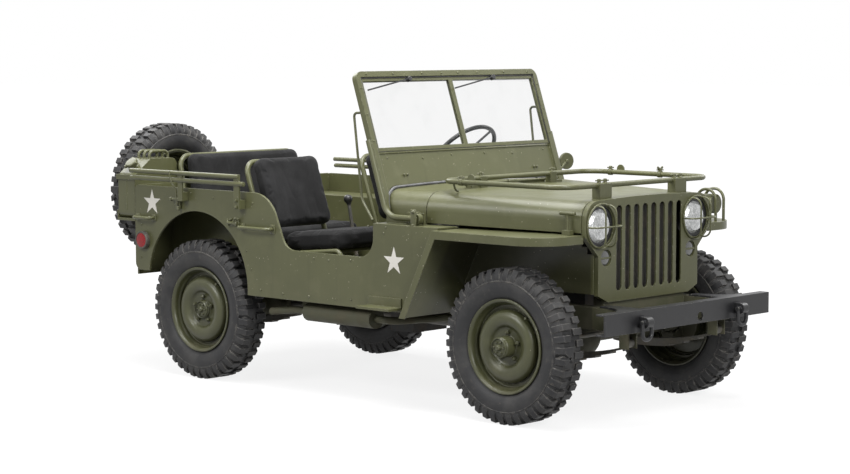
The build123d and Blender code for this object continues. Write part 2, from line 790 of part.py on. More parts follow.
with BuildPart() as windshield_frame:
    with BuildSketch(screen.offset(-frame_depth / 2)):
        with Locations((0, frame_top / 2 - 80)):
            RectangleRounded(2 * screen_half_width, frame_top + 160, 40)
        with Locations((0, sash_high / 2 - 100)):
            Rectangle(2 * sash_half, sash_high + 200, mode=Mode.SUBTRACT)
    extrude(amount=frame_depth)
    with BuildSketch(screen.offset(-sheet / 2)):
        with Locations((0, -15)):
            Rectangle(2 * screen_half_width, 2 * sash_low + 10)
    extrude(amount=sheet)
    extrude(section(front_x - 950, cowl_rear_half + moving_gap + 4, 600,
                    cowl_rear_top + moving_gap + 6, section_radius + moving_gap),
            amount=330, mode=Mode.SUBTRACT)
    block(screen_foot_x - 60, screen_foot_x + 300, -800, 800, 600, seam_top + 50, mode=Mode.SUBTRACT)
    bend_x = screen_foot_x + (screen_foot - pivot_z) * tan(lean)
    for side in (-1, 1):
        y = side * side_tube_y
        top_end = screen_point(y, sash_low + 60)
        add(bent_tube([(top_end.X, y, top_end.Z), (bend_x, y, pivot_z), (pivot_x, y, pivot_z)],
                      85, side_tube_radius))
        stay_y = side * (screen_half_width - 14)
        foot = (front_x - door_behind - 12, side * inner_wall, seam_top + stay_radius + moving_gap)
        add(bent_tube([screen_point(stay_y, stay_rise, -8), screen_point(stay_y, stay_rise + 18, -68),
                       screen_point(stay_y, -40, -150), foot], [18, 70], stay_radius))
        with Locations((pivot_x, y, pivot_z)):
            Cylinder(24, 2 * side_tube_radius, rotation=(90, 0, 0))
            Cylinder(pivot_pin + running_gap, 60, rotation=(90, 0, 0), mode=Mode.SUBTRACT)
save(windshield_frame.part, "windshield_frame")

with BuildPart() as windshield_sash:
    with BuildSketch(screen.offset(-9)):
        with Locations((0, (sash_low + sash_high) / 2)):
            Rectangle(2 * sash_half, sash_high - sash_low)
        for side in (-1, 1):
            with Locations((side * (pane_half + mullion) / 2, (pane_low + pane_high) / 2)):
                Rectangle(pane_half - mullion, pane_high - pane_low, mode=Mode.SUBTRACT)
    extrude(amount=18)
save(windshield_sash.part, "windshield_sash")

with BuildPart() as windshield_panes:
    with BuildSketch(screen.offset(-2.5)):
        for side in (-1, 1):
            with Locations((side * (pane_half + mullion) / 2, (pane_low + pane_high) / 2)):
                Rectangle(pane_half - mullion, pane_high - pane_low)
    extrude(amount=5)
save(windshield_panes.part, "windshield_panes")

wiper_y = 305.0
wiper_length = 310.0
with BuildPart() as wipers:
    for side in (-1, 1):
        with BuildSketch(screen.offset(9)):
            with Locations((side * wiper_y, sash_high - 15)):
                Circle(13)
        extrude(amount=20)
        with BuildSketch(screen.offset(18)):
            with Locations((side * wiper_y + 8 - wiper_length / 2, sash_high - 40)):
                Rectangle(wiper_length, 7, rotation=10)
        extrude(amount=7)
save(wipers.part, "wipers")

mirror_y = side_tube_y + 56
mirror_z = 1092.0
mirror_base = screen_point(0, (mirror_z - screen_foot) / cos(lean))
with BuildPart() as mirror_arm:
    with BuildSketch(Plane(origin=(mirror_base.X + 10, mirror_y + 12, mirror_z), z_dir=(-1, 0.25, 0))):
        Circle(42)
    extrude(amount=12)
    add(straight_bar((mirror_base.X + 14, side_tube_y + 10, mirror_z - 40),
                     (mirror_base.X + 6, mirror_y + 6, mirror_z - 6), 6))
    add(windshield_frame.part, mode=Mode.SUBTRACT)
save(mirror_arm.part, "mirror")

# Steering: column, wheel, knuckles and tie rod
hub_back = wheel_hub + column_way * 26
with BuildPart() as steering_column:
    with BuildSketch(Plane(origin=hub_back, z_dir=column_way)):
        Circle(column_radius)
    extrude(amount=column_length - 26)
    block(firewall_x + 3, firewall_x + 115, rail_inner + 5, rail_outer, rail_top, rail_top + 70)
    with BuildSketch(Plane(origin=wheel_hub, z_dir=column_way)):
        Circle(9)
    extrude(amount=60)
save(steering_column.part, "steering_column")

grip_radius = 11.0
steering_radius = 204.0
with BuildPart() as steering_wheel:
    with Locations(Plane(origin=wheel_hub, z_dir=column_way).location):
        Torus(steering_radius, grip_radius)
        with Locations((0, 0, 6)):
            Cylinder(30, 36)
            Cylinder(9 + running_gap, 80, mode=Mode.SUBTRACT)
        with Locations((0, 0, -13)):
            Cylinder(24, 6)
        for turn in (90, 210, 330):
            with Locations(Location((0, 0, 0), (0, 0, turn))):
                with Locations((steering_radius / 2 + 10, 0, 0)):
                    Box(steering_radius - 22, 12, 7)
save(steering_wheel.part, "steering_wheel")

arm_low = axle_z + 2
arm_high = axle_z + 14
rod_z = arm_high + 13
cap_low = axle_z + 60
for name, side in (("right", -1), ("left", 1)):
    y = side * kingpin_y
    with BuildPart() as knuckle:
        block(front_x - 32, front_x + 32, y - side * 26, side * backing_y, axle_z - 82, axle_z + 82)
        block(front_x - 33, front_x + 33, y - side * 27, y, axle_z - ball_radius - 5,
              axle_z + ball_radius + 5, mode=Mode.SUBTRACT)
        with Locations((front_x, y, axle_z)):
            Sphere(ball_radius + 5, mode=Mode.SUBTRACT)
            Cylinder(12, 164)
        with Locations((front_x, side * (backing_y - 1), axle_z)):
            Cylinder(drum_radius + 6, 6, rotation=(90, 0, 0))
        with Locations((front_x, side * (backing_y + 22), axle_z)):
            Cylinder(spindle_radius, 48, rotation=(90, 0, 0))
        block(front_x + 20, front_x + 76, y - 16, y + 16, cap_low, cap_low + 14)
        block(front_x + 60, front_x + 76, y - 16, y + 16, arm_low, cap_low + 14)
        block(front_x + 60, front_x + steer_arm, y - 16, y + 16, arm_low, arm_high)
        with Locations((front_x + steer_arm, y, axle_z + 8)):
            Cylinder(16, 12)
        with Locations((front_x + steer_arm, y, rod_z - 2)):
            Cylinder(8, 30)
    save(knuckle.part, f"knuckle_{name}")

with BuildPart() as tie_rod:
    add(straight_bar((front_x + steer_arm, -kingpin_y, rod_z),
                     (front_x + steer_arm, kingpin_y, rod_z), 10))
    for side in (-1, 1):
        with Locations((front_x + steer_arm, side * kingpin_y, rod_z)):
            Cylinder(17, 22)
            Cylinder(8 + running_gap, 60, mode=Mode.SUBTRACT)
save(tie_rod.part, "tie_rod")

# Seats: tube frames and pads
seat_tube = 13.0
seat_rail = 12.0
seat_floor = floor_top
cushion_tilt = 5.0
back_lean = 19.5
seat_drop = 105.0
cushion = Plane(origin=(front_x - 1290, 0, 742),
                x_dir=(cos(radians(cushion_tilt)), 0, sin(radians(cushion_tilt))),
                z_dir=(-sin(radians(cushion_tilt)), 0, cos(radians(cushion_tilt))))
cushion_length = 450.0
cushion_thick = 84.0
backrest = Plane(origin=(front_x - 1623, 0, 757), x_dir=(0, 1, 0),
                 z_dir=(cos(radians(back_lean)), 0, sin(radians(back_lean))))
back_height = 368.0
back_thick = 74.0


def cushion_point(along, y, up):
    return cushion.from_local_coords(Vector(along, y, up))


def back_point(y, up, out):
    return backrest.from_local_coords(Vector(y, up, out))


bench_lean = 10.0
bench_back = Plane(origin=(front_x - 2424, 0, 786), x_dir=(0, 1, 0),
                   z_dir=(cos(radians(bench_lean)), 0, sin(radians(bench_lean))))
bench_back_height = 325.0
bench_back_thick = 55.0


def bench_point(y, up, out):
    return bench_back.from_local_coords(Vector(y, up, out))


bench_rail_y = house_y - 42
bench_rail_z = floor_top + 112
with BuildPart() as seat_frames:
    for side in (-1, 1):
        middle = side * seat_y
        low = -seat_rail - running_gap - cushion_thick / 2
        behind = -seat_tube - running_gap
        left = middle - seat_half - 2
        right = middle + seat_half + 2
        add(bent_tube([back_point(left, -seat_drop - 10, behind), back_point(left, back_height + 4, behind),
                       back_point(right, back_height + 4, behind),
                       back_point(right, -seat_drop - 10, behind)], 62, seat_tube))
        rear_foot = back_point(left, -seat_drop, behind)
        for y in (left, right):
            add(bent_tube([(cushion_point(200, y, low).X, y, seat_floor), cushion_point(200, y, low),
                           (rear_foot.X, y, rear_foot.Z), (rear_foot.X, y, seat_floor)],
                          35, seat_rail))
        add(straight_bar(cushion_point(120, left, low), cushion_point(120, right, low), 11))
    foot = bench_point(0, -60, -seat_tube - running_gap)
    top = bench_point(0, bench_back_height - 2, -seat_tube - running_gap)
    add(bent_tube([(foot.X, -bench_rail_y, floor_top), (foot.X, -bench_rail_y, foot.Z),
                   (top.X, -bench_rail_y, top.Z), (top.X, bench_rail_y, top.Z),
                   (foot.X, bench_rail_y, foot.Z), (foot.X, bench_rail_y, floor_top)], 60, seat_tube))
    for y in (-bench_rail_y, bench_rail_y):
        add(bent_tube([(foot.X, y, bench_rail_z), (rear_x + 20, y, bench_rail_z),
                       (rear_x + 20, y, floor_top)], 40, seat_rail))
save(seat_frames.part, "seat_frames")


with BuildPart() as front_seat_pads:
    for side in (-1, 1):
        with BuildSketch(cushion.offset(-cushion_thick / 2)):
            with Locations((0, side * seat_y)):
                RectangleRounded(cushion_length, 2 * seat_half, 45)
        extrude(amount=cushion_thick)
        with BuildSketch(backrest):
            with Locations((side * seat_y, back_height / 2)):
                RectangleRounded(2 * seat_half, back_height, 50)
        extrude(amount=back_thick)
save(front_seat_pads.part, "front_seat_pads")

bench_half = house_y - 25
bench_back_half = house_y - 55
with BuildPart() as rear_seat_pads:
    with BuildSketch(Plane.XY.offset(bench_rail_z + seat_rail + running_gap)):
        with Locations((rear_x - 107, 0)):
            RectangleRounded(350, 2 * bench_half, 45)
    extrude(amount=80)
    with BuildSketch(bench_back):
        with Locations((0, bench_back_height / 2)):
            RectangleRounded(2 * bench_back_half, bench_back_height, 50)
    extrude(amount=bench_back_thick)
save(rear_seat_pads.part, "rear_seat_pads")

# Driver's pedals, three floor levers and the hand lever between the seats
knob_radius = 22.0
cushion_front = cushion_point(cushion_length / 2, 0, -cushion_thick / 2).X
low_knob_x = cushion_front + knob_radius + moving_gap
lever_table = [
    # foot x, foot y, knob x, knob y, knob height
    (front_x - 960, 0, front_x - 1060, 20, 890),
    (front_x - 960, -75, low_knob_x, -95, 760),
    (front_x - 960, -125, low_knob_x, -150, 740),
    (front_x - 1561, -20, front_x - 1637, -20, 896),
]
pedal_table = [
    # pad y, bracket y
    (column_y - 105, column_y - 105),
    (column_y + 95, column_y),
]
with BuildPart() as floor_controls:
    for y, bracket in pedal_table:
        block(front_x - 690, front_x - 676, y - 40, y + 40, 610, 690)
        block(firewall_x - sheet - 28, firewall_x - sheet, bracket - 18, bracket + 18, 742, 778)
        add(straight_bar((front_x - 683, y, 650), (firewall_x - sheet - 14, bracket, 760), 8))
    for foot_x, foot_y, knob_x, knob_y, knob_z in lever_table:
        with Locations((foot_x, foot_y, floor_top)):
            Cylinder(22, 24, align=(Align.CENTER, Align.CENTER, Align.MIN))
        lever = Vector(knob_x, knob_y, knob_z) - Vector(foot_x, foot_y, floor_top + 14)
        with Locations(Plane(origin=(foot_x, foot_y, floor_top + 14), z_dir=lever).location):
            Cylinder(9, lever.length, align=(Align.CENTER, Align.CENTER, Align.MIN))
            with Locations((0, 0, lever.length)):
                Sphere(knob_radius)
save(floor_controls.part, "floor_controls")

# Outside fittings: stowed bows, handles, steps, side lamps
bow_y = body_half_width + 38
bow_radius = 11.5
bow_rear = tail_x + 10
bow_table = [
    # height, front end, rear end
    (1040, front_x - 1677, bow_rear),
    (1005, front_x - 1641, bow_rear + 6),
]
bracket_table = [
    # x, length, low, high
    (front_x - 2110, 34, 900, 1052),
    (front_x - 1690, 40, 880, 1052),
]
with BuildPart() as bow_rods:
    for z, front, rear in bow_table:
        add(straight_bar((rear, -bow_y, z), (front, -bow_y, z), bow_radius))
    for x, length, low, high in bracket_table:
        block(x - length / 2, x + length / 2, -bow_y - 4, 4 - bow_y, low, high)
        block(x - length / 2, x + length / 2, -bow_y, -body_half_width, low, low + 46)
    mirror(about=Plane.XZ)
save(bow_rods.part, "bow_rods")

handle_y = body_half_width + 42
handle_table = [
    # rear end, front end, height
    (front_x - 1690, front_x - 1475, 792),
    (tail_x + 24, tail_x + 150, 800),
]
with BuildPart() as grab_handles:
    for back, front, z in handle_table:
        add(bent_tube([(back, -body_half_width, z), (back, -handle_y, z),
                       (front, -handle_y, z), (front, -body_half_width, z)], 26, 9))
    mirror(about=Plane.XZ)
save(grab_handles.part, "grab_handles")

with BuildPart() as side_steps:
    block(front_x - 822, front_x - 610, -step_half_width, -body_half_width, 466, 478)
    block(front_x - 822, front_x - 610, -body_half_width - sheet, -body_half_width, 466, 520)
    mirror(about=Plane.XZ)
save(side_steps.part, "side_steps")

with BuildPart() as tail_lamps:
    with BuildSketch(across(-body_half_width)):
        with Locations((front_x - 2440, 682)):
            Circle(41)
    extrude(amount=22)
    mirror(about=Plane.XZ)
    for side in (-1, 1):
        with BuildSketch(Plane.YZ.offset(tail_x - 26)):
            with Locations((side * (body_half_width - 92), 640)):
                Circle(42)
        extrude(amount=26)
save(tail_lamps.part, "tail_lamps")

# Rear carriers with the fuel can and the spare wheel, and the towing plate
spare_x = tail_x - spare_standoff
spare_z = 912.0
can_y = (-body_half_width - 2, 288 - body_half_width)
spare_y = can_y[1] + 139
can_low = 788.0
can_high = 1130.0
strap_z = 1000.0
strap_width = 26.0
strap = 5.0
can_back = tail_x - 142
seat_in = -drum_in
with BuildPart() as rear_carriers:
    with BuildSketch(Plane.YZ.offset(spare_x + seat_in)):
        with Locations((spare_y, spare_z)):
            Circle(100)
    extrude(amount=sheet)
    with BuildSketch(Plane.YZ.offset(spare_x + seat_in)):
        with Locations((spare_y, spare_z - 70)):
            Rectangle(70, 140)
    extrude(amount=spare_standoff - seat_in)
    block(can_back, tail_x, can_y[0], can_y[1], can_low - 14, can_low)
    block(can_back, can_back + 6, can_y[0], can_y[1], can_low - 14, can_low + 40)
    strap_y = can_y[0] + 90
    block(can_back, can_back + strap, strap_y - strap_width / 2, strap_y + strap_width / 2,
          can_low, strap_z)
    block(can_back, can_back + strap, can_y[0] - strap - 2, can_y[1] + strap + 2,
          strap_z - strap_width / 2, strap_z + strap_width / 2)
    for y in (can_y[0] - strap - 2, can_y[1] + 2):
        block(can_back, tail_x, y, y + strap, strap_z - strap_width / 2, strap_z + strap_width / 2)
save(rear_carriers.part, "rear_carriers")

with BuildPart() as fuel_can:
    with BuildSketch(Plane.YZ.offset(can_back + 8)):
        with BuildLine():
            FilletPolyline((can_y[0] + 2, can_low), (can_y[1], can_low), (can_y[1], can_high - 36),
                           (can_y[0] + 110, can_high - 36), (can_y[0] + 2, can_high - 120),
                           radius=[30, 30, 40, 30, 40], close=True)
        make_face()
    extrude(amount=tail_x - can_back - 10)
    for x in (can_back + 38, can_back + 80, can_back + 122):
        add(bent_tube([(x, can_y[0] + 116, can_high - 42), (x, can_y[0] + 116, can_high),
                       (x, can_y[1] - 50, can_high), (x, can_y[1] - 50, can_high - 42)], 24, 8))
save(fuel_can.part, "fuel_can")

spare_place = Location((spare_x, spare_y, spare_z), (0, 0, -90))
save(spare_place * tyre, "spare_tyre")
spare_disc = spare_place * turned_wheel(rear_hub_reach)
save(spare_disc, "spare_wheel")

hitch_x = rail_rear - 16
hitch_spacing_y = 85.7
hitch_spacing_z = 44.5
hitch_hole = 6.5
with BuildPart() as towing_plate:
    block(hitch_x, rail_rear, -90, 90, rail_bottom, rail_top)
    with BuildSketch(Plane.YZ.offset(hitch_x - 1)):
        with Locations((0, (rail_bottom + rail_top) / 2)):
            with GridLocations(hitch_spacing_y, hitch_spacing_z, 2, 2):
                Circle(hitch_hole)
    extrude(amount=40, mode=Mode.SUBTRACT)
save(towing_plate.part, "towing_plate")

# Blackout lamp and its hoop on the driver's fender
hoop_y = fender_half_width - 133
hoop_x = front_x + 180
hoop_gap = 32.0
with BuildPart() as blackout_lamp:
    with BuildSketch(Plane.YZ.offset(hoop_x - 40)):
        with Locations((hoop_y, 930)):
            Circle(46)
    extrude(amount=70)
    add(straight_bar((hoop_x - 10, hoop_y, fender_top), (hoop_x - 10, hoop_y, 900), 10))
    for y in (hoop_y - hoop_gap, hoop_y + hoop_gap):
        add(bent_tube([(hoop_x - 58, y, fender_top), (hoop_x - 58, y, 1000), (hoop_x + 52, y, 1000),
                       (hoop_x + 52, y, fender_top)], 52, 7))
    add(straight_bar((hoop_x - 3, hoop_y - hoop_gap, 1000), (hoop_x - 3, hoop_y + hoop_gap, 1000), 6))
save(blackout_lamp.part, "blackout_lamp")

# Side catches of the hood
catch_x = front_x + 205
catch_y = hood_front_half + 32
catch_z = 946.0
with BuildPart() as hood_catches:
    block(catch_x - 22, catch_x + 22, -catch_y - 14, 14 - catch_y, fender_top, fender_top + 22)
    add(straight_bar((catch_x, -catch_y, fender_top + 10), (catch_x, -catch_y, catch_z), 6))
    add(straight_bar((catch_x - 42, -catch_y, catch_z), (catch_x + 42, -catch_y, catch_z), 8))
    mirror(about=Plane.XZ)
save(hood_catches.part, "hood_catches")
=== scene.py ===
# %% [markdown]
# # An open army 4x4 car
# The solids of the car come from the CAD model as a fixed frame. This lesson dresses them:
# paint with chips and dust, tyres with real lugs, padded seats, glass, lamps and small
# hardware. Each step says what the real thing is and why it is made this way.

# %% Load the frame
import math
import bmesh
import bpy
from mathutils import Matrix, Vector, noise


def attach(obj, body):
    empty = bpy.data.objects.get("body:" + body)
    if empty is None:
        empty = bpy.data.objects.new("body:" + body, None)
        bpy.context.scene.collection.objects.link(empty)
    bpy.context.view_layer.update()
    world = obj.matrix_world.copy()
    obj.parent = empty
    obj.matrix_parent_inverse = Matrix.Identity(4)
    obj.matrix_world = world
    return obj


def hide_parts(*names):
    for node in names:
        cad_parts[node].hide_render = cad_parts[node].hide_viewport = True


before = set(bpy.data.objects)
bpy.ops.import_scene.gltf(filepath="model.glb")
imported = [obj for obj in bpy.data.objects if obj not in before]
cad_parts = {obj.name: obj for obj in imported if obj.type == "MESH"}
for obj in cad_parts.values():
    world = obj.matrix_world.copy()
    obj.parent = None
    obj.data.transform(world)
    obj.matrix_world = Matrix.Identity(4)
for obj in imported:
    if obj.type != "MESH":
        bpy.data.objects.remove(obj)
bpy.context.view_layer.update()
front_axle_x = 1.125
wheelbase, rear_overhang = 2.032, 0.478
rear_axle_x = front_axle_x - wheelbase
tail_x = rear_axle_x - rear_overhang
axle_z = 0.352
wheel_y = 0.622


def placed(name, data):
    """A new object of the scene for this data."""
    thing = bpy.data.objects.new(name, data)
    bpy.context.scene.collection.objects.link(thing)
    return thing


# %% [markdown]
# ## Camera
# The camera was solved from the four wheels of the photograph, so it is placed by numbers
# and not by eye. The lens is long, which keeps the near and far wheels close in size.

# %% Camera
view_data = bpy.data.cameras.new("photo_camera")
view_data.sensor_width = 36.0
view_data.lens = 95.35
camera = placed("photo_camera", view_data)
azimuth, elevation = math.radians(42.914), math.radians(5.054)
back = Vector((math.sin(azimuth) * math.cos(elevation),
               -math.cos(azimuth) * math.cos(elevation), math.sin(elevation)))
camera.location = (7.61725, -8.18459, 1.71871)
camera.rotation_euler = (-back).to_track_quat("-Z", "Y").to_euler()
bpy.context.scene.camera = camera
print("camera lens", view_data.lens, "mm")

# %% [markdown]
# ## Shader maths
# A material is easier to read as arithmetic than as a picture of wires. One small class
# wraps an output socket and overloads the operators, and one method adds any other node.


# %% Sockets as numbers
class Signal:
    """One output socket of a finish, with arithmetic that adds Math nodes."""

    def __init__(self, finish, socket):
        self.finish = finish
        self.socket = socket

    def math(self, operation, first, second=0.0):
        return self.finish.node("ShaderNodeMath", {"operation": operation}, {0: first, 1: second})

    def __add__(self, other):
        return self.math("ADD", self, other)

    __radd__ = __add__

    def __sub__(self, other):
        return self.math("SUBTRACT", self, other)

    def __rsub__(self, other):
        return self.math("SUBTRACT", other, self)

    def __mul__(self, other):
        return self.math("MULTIPLY", self, other)

    __rmul__ = __mul__

    def step(self, low, high):
        """0 below low, 1 above high, smooth between; low may be the larger one."""
        return self.finish.node(
            "ShaderNodeMapRange", {"interpolation_type": "SMOOTHSTEP"},
            {"Value": self, "From Min": low, "From Max": high})


class Finish:
    """A material under construction, with its Principled shader at hand."""

    def __init__(self, name):
        self.material = bpy.data.materials.new(name)
        self.material.use_nodes = True
        self.tree = self.material.node_tree
        self.shader = self.tree.nodes["Principled BSDF"]
        self.place = self.node("ShaderNodeTexCoord", output="Object")

    def node(self, kind, settings=None, inputs=None, output=0):
        made = self.tree.nodes.new(kind)
        for key, value in (settings or {}).items():
            setattr(made, key, value)
        for key, value in (inputs or {}).items():
            self.feed(made.inputs[key], value)
        return Signal(self, made.outputs[output])

    def feed(self, socket, value):
        if isinstance(value, Signal):
            self.tree.links.new(value.socket, socket)
        else:
            socket.default_value = value

    def set(self, **sockets):
        for key, value in sockets.items():
            self.feed(self.shader.inputs[key.replace("_", " ")], value)
        return self

    def noise(self, scale, detail=3.0, rough=0.55, place=None):
        return self.node("ShaderNodeTexNoise", None,
                         {"Vector": place or self.place, "Scale": scale, "Detail": detail,
                          "Roughness": rough})

    def stretched(self, x, y, z):
        return self.node("ShaderNodeMapping", None, {"Vector": self.place, "Scale": (x, y, z)})

    def mix(self, factor, first, second):
        return self.node("ShaderNodeMix", {"data_type": "RGBA"},
                         {0: factor, 6: first, 7: second}, 2)

    def bump(self, height, strength, distance, normal=None):
        inputs = {"Height": height, "Strength": strength, "Distance": distance}
        if normal is not None:
            inputs["Normal"] = normal
        return self.node("ShaderNodeBump", None, inputs)

    def rounded(self, radius):
        """Normals that roll over sharp edges, as paint does on pressed sheet."""
        return self.node("ShaderNodeBevel", {"samples": 4}, {"Radius": radius})

    def axis(self, name):
        return self.node("ShaderNodeSeparateXYZ", None, {0: self.place}, name)

    def edge(self, radius):
        """1 along sharp edges: how far the rolled normal turns from the flat one."""
        flat = self.node("ShaderNodeNewGeometry", output="Normal")
        turn = self.node("ShaderNodeVectorMath", {"operation": "DOT_PRODUCT"},
                         {0: self.rounded(radius), 1: flat}, "Value")
        return turn.step(0.995, 0.90)


def colour(red, green, blue):
    return (red, green, blue, 1.0)


# %% [markdown]
# ## Olive paint
# The car wears one satin olive drab coat. Up close it is never one colour: broad fading, rain
# streaks, road dust low down, painted shade in the front wheel arches, pale chips in loose
# clusters and rubbed edges. Each is a mask, and the colour is mixed through the masks one after another.


# %% Olive paint
def painted(name, base, worn, dust, dust_top, chip_share, rough):
    """Sprayed metal: coat, fading, streaks, painted arch shade, chips, rubbed edges and low dust."""
    coat = Finish(name)
    fade = coat.noise(2.3, 4.0)
    cloud = coat.noise(11.0, 5.0, 0.62)
    streak = coat.noise(1.0, 4.0, 0.6, coat.stretched(26.0, 26.0, 1.8))
    grain = coat.noise(240.0, 2.0)
    tint = coat.mix(fade.step(0.3, 0.7), base, tuple(c * 1.16 for c in base[:3]) + (1,))
    tint = coat.mix(streak.step(0.52, 0.78) * 0.22, tint, tuple(c * 0.62 for c in base[:3]) + (1,))
    tint = coat.mix(cloud.step(0.5, 0.8) * 0.25, tint, worn)
    height = coat.axis("Z")
    low = height.step(dust_top, dust_top - 0.42) * cloud.step(0.34, 0.72)
    tint = coat.mix(low * 0.42, tint, dust)
    # Painted shade: inside the front wheel arches the colour is darkened to near black.
    arch_shade_inside = (coat.axis("Y") * coat.axis("Y")).step(0.385, 0.330) * height.step(0.815, 0.770)
    arch = arch_shade_inside * coat.axis("X").step(0.60, 0.66) * coat.axis("X").step(1.372, 1.362)
    tint = coat.mix(arch * 0.62, tint, colour(0.022, 0.021, 0.014))
    spots = coat.node("ShaderNodeTexVoronoi", {"feature": "F1"},
                      {"Vector": coat.place, "Scale": 44.0, "Randomness": 1.0}, "Distance")
    cluster = coat.noise(5.2, 3.0, 0.6).step(1 - chip_share, 1.04 - chip_share)
    ragged = spots + coat.noise(190.0, 4.0, 0.7) * 0.30
    chip = ragged.step(0.255, 0.215) * cluster
    tint = coat.mix(chip * 0.85, tint, colour(0.36, 0.34, 0.26))
    rub = coat.edge(0.007) * coat.noise(34.0, 5.0, 0.7).step(0.42, 0.66)
    tint = coat.mix(rub * 0.55, tint, worn)
    tint = coat.mix(rub * coat.noise(90.0, 3.0).step(0.56, 0.62) * 0.7, tint,
                    colour(0.38, 0.37, 0.31))
    gloss = rough + (cloud - 0.5) * 0.22 + low * 0.2 + chip * 0.12
    skin = coat.bump(grain * 0.5 + cloud * 0.9 - chip * 1.4, 0.16, 0.0011, coat.rounded(0.0045))
    coat.set(Base_Color=tint, Roughness=gloss, Normal=skin)
    coat.set(Specular_IOR_Level=0.36)
    return coat.material


olive = painted("olive_paint", colour(0.069, 0.071, 0.032), colour(0.140, 0.140, 0.080),
                colour(0.175, 0.150, 0.105), 0.62, 0.50, 0.36)
# Parts under the car: more dust, and a darker base, wear and dust colour as painted shade.
olive_under_shaded = painted("olive_paint_under_shaded", colour(0.050, 0.051, 0.028), colour(0.095, 0.093, 0.058),
                      colour(0.120, 0.102, 0.072), 0.86, 0.34, 0.6)
# The wheels get a darker copy of the olive: painted shade for the shade the fenders cast on them.
olive_wheel_shaded = painted("olive_paint_wheel_shaded", colour(0.050, 0.052, 0.024), colour(0.098, 0.098, 0.056),
                      colour(0.110, 0.096, 0.068), 0.40, 0.42, 0.34)
black = painted("black_paint", colour(0.013, 0.013, 0.014), colour(0.060, 0.060, 0.060),
                colour(0.110, 0.100, 0.085), 0.42, 0.42, 0.4)
print("paints:", olive.name, olive_under_shaded.name, olive_wheel_shaded.name, black.name)

# %% [markdown]
# ## Steel, iron and plastic
# Springs and shafts are bare steel under a film of dust. The engine block is rough casting.
# The knobs and the steering wheel are black moulded plastic, polished by hands.


# %% Steel, iron and plastic
def bare_metal(name, base, dirt, rough, metal):
    skin = Finish(name)
    cloud = skin.noise(14.0, 5.0, 0.65)
    fine = skin.noise(160.0, 3.0)
    tint = skin.mix(cloud.step(0.38, 0.68), base, dirt)
    skin.set(Base_Color=tint, Roughness=rough + cloud * 0.25,
             Metallic=metal - cloud.step(0.4, 0.7) * metal * 0.8,
             Normal=skin.bump(fine + cloud, 0.3, 0.001, skin.rounded(0.002)))
    return skin.material


dark_steel = bare_metal("dark_steel", colour(0.075, 0.073, 0.066),
                        colour(0.100, 0.088, 0.064), 0.45, 0.7)
cast_iron = bare_metal("cast_iron", colour(0.045, 0.045, 0.044),
                       colour(0.070, 0.060, 0.048), 0.62, 0.3)
dull_metal = bare_metal("dull_metal", colour(0.050, 0.049, 0.045),
                        colour(0.080, 0.068, 0.052), 0.6, 0.4)

moulded = Finish("black_plastic")
touch = moulded.noise(7.0, 4.0)
moulded.set(Base_Color=moulded.mix(touch.step(0.35, 0.7), colour(0.010, 0.010, 0.010),
                                   colour(0.022, 0.022, 0.022)),
            Roughness=0.22 + touch * 0.2,
            Normal=moulded.bump(moulded.noise(420.0, 2.0), 0.12, 0.0006, moulded.rounded(0.002)))
moulded.set(Specular_IOR_Level=0.35)
black_plastic = moulded.material

# %% [markdown]
# ## Tyre rubber
# Old rubber is a warm grey, not black. Dust stays in the grooves and on the walls, and the lug
# tips are rubbed paler, partly wear and partly a painted highlight on the lug edges. The radius
# from each axle isn't known to one shared material, so both follow the rolled edges instead.

# %% Tyre rubber
rubber = Finish("tyre_rubber")
dusty = rubber.noise(9.0, 5.0, 0.62)
smear = rubber.noise(38.0, 4.0, 0.7)
skin_grain = rubber.noise(330.0, 2.0)
rubber_tint = rubber.mix(dusty.step(0.36, 0.70), colour(0.021, 0.021, 0.022), colour(0.044, 0.043, 0.042))
rubber_tint = rubber.mix(smear.step(0.60, 0.78) * 0.4, rubber_tint, colour(0.120, 0.105, 0.086))
# Wear and painted highlight: the rolled lug edges are mixed towards a pale grey.
rubber_rub_and_highlight = rubber.edge(0.004) * smear.step(0.40, 0.62)
rubber_tint = rubber.mix(rubber_rub_and_highlight * 0.8, rubber_tint, colour(0.150, 0.140, 0.125))
rubber.set(Base_Color=rubber_tint, Roughness=0.46 + dusty * 0.24,
           Normal=rubber.bump(skin_grain * 0.5 + smear, 0.22, 0.0012, rubber.rounded(0.0018)))
rubber.set(Specular_IOR_Level=0.26)
tyre_rubber = rubber.material

grey_rubber = Finish("seal_rubber")
chalk = grey_rubber.noise(26.0, 4.0)
chalk_tint = grey_rubber.mix(chalk.step(0.35, 0.7), colour(0.075, 0.076, 0.078),
                             colour(0.130, 0.131, 0.134))
grey_rubber.set(Base_Color=chalk_tint, Roughness=0.55 + chalk * 0.2,
                Normal=grey_rubber.bump(grey_rubber.noise(300.0), 0.2, 0.0008))
seal_rubber = grey_rubber.material

# %% [markdown]
# ## Glass, lenses and the mirror
# Flat window glass is almost clear, so a small alpha shows the pale light that it reflects.
# A lamp lens is pressed glass in front of a bright bowl: fine lumps in the surface scatter
# the light and make it look frosted.

# %% Glass, lenses and the mirror
pane = Finish("pane_glass")
film = pane.noise(6.0, 4.0)
pane.set(Base_Color=colour(0.10, 0.11, 0.11), Roughness=0.04 + film * 0.05,
         Alpha=0.07 + film.step(0.45, 0.8) * 0.03)
pane_glass = pane.material
pane_glass.surface_render_method = "BLENDED"

pressed = Finish("lamp_glass")
lumps = pressed.node("ShaderNodeTexVoronoi", {"feature": "SMOOTH_F1"},
                     {"Vector": pressed.place, "Scale": 210.0}, "Distance")
glow = pressed.noise(75.0, 3.0)
pressed.set(Base_Color=pressed.mix(glow.step(0.3, 0.75), colour(0.40, 0.41, 0.41), colour(0.64, 0.65, 0.65)),
            Roughness=0.16 + glow * 0.2, Metallic=0.35,
            Normal=pressed.bump(lumps, 0.6, 0.0025))
pressed.set(Coat_Weight=1.0, Coat_Roughness=0.05)
lamp_glass = pressed.material

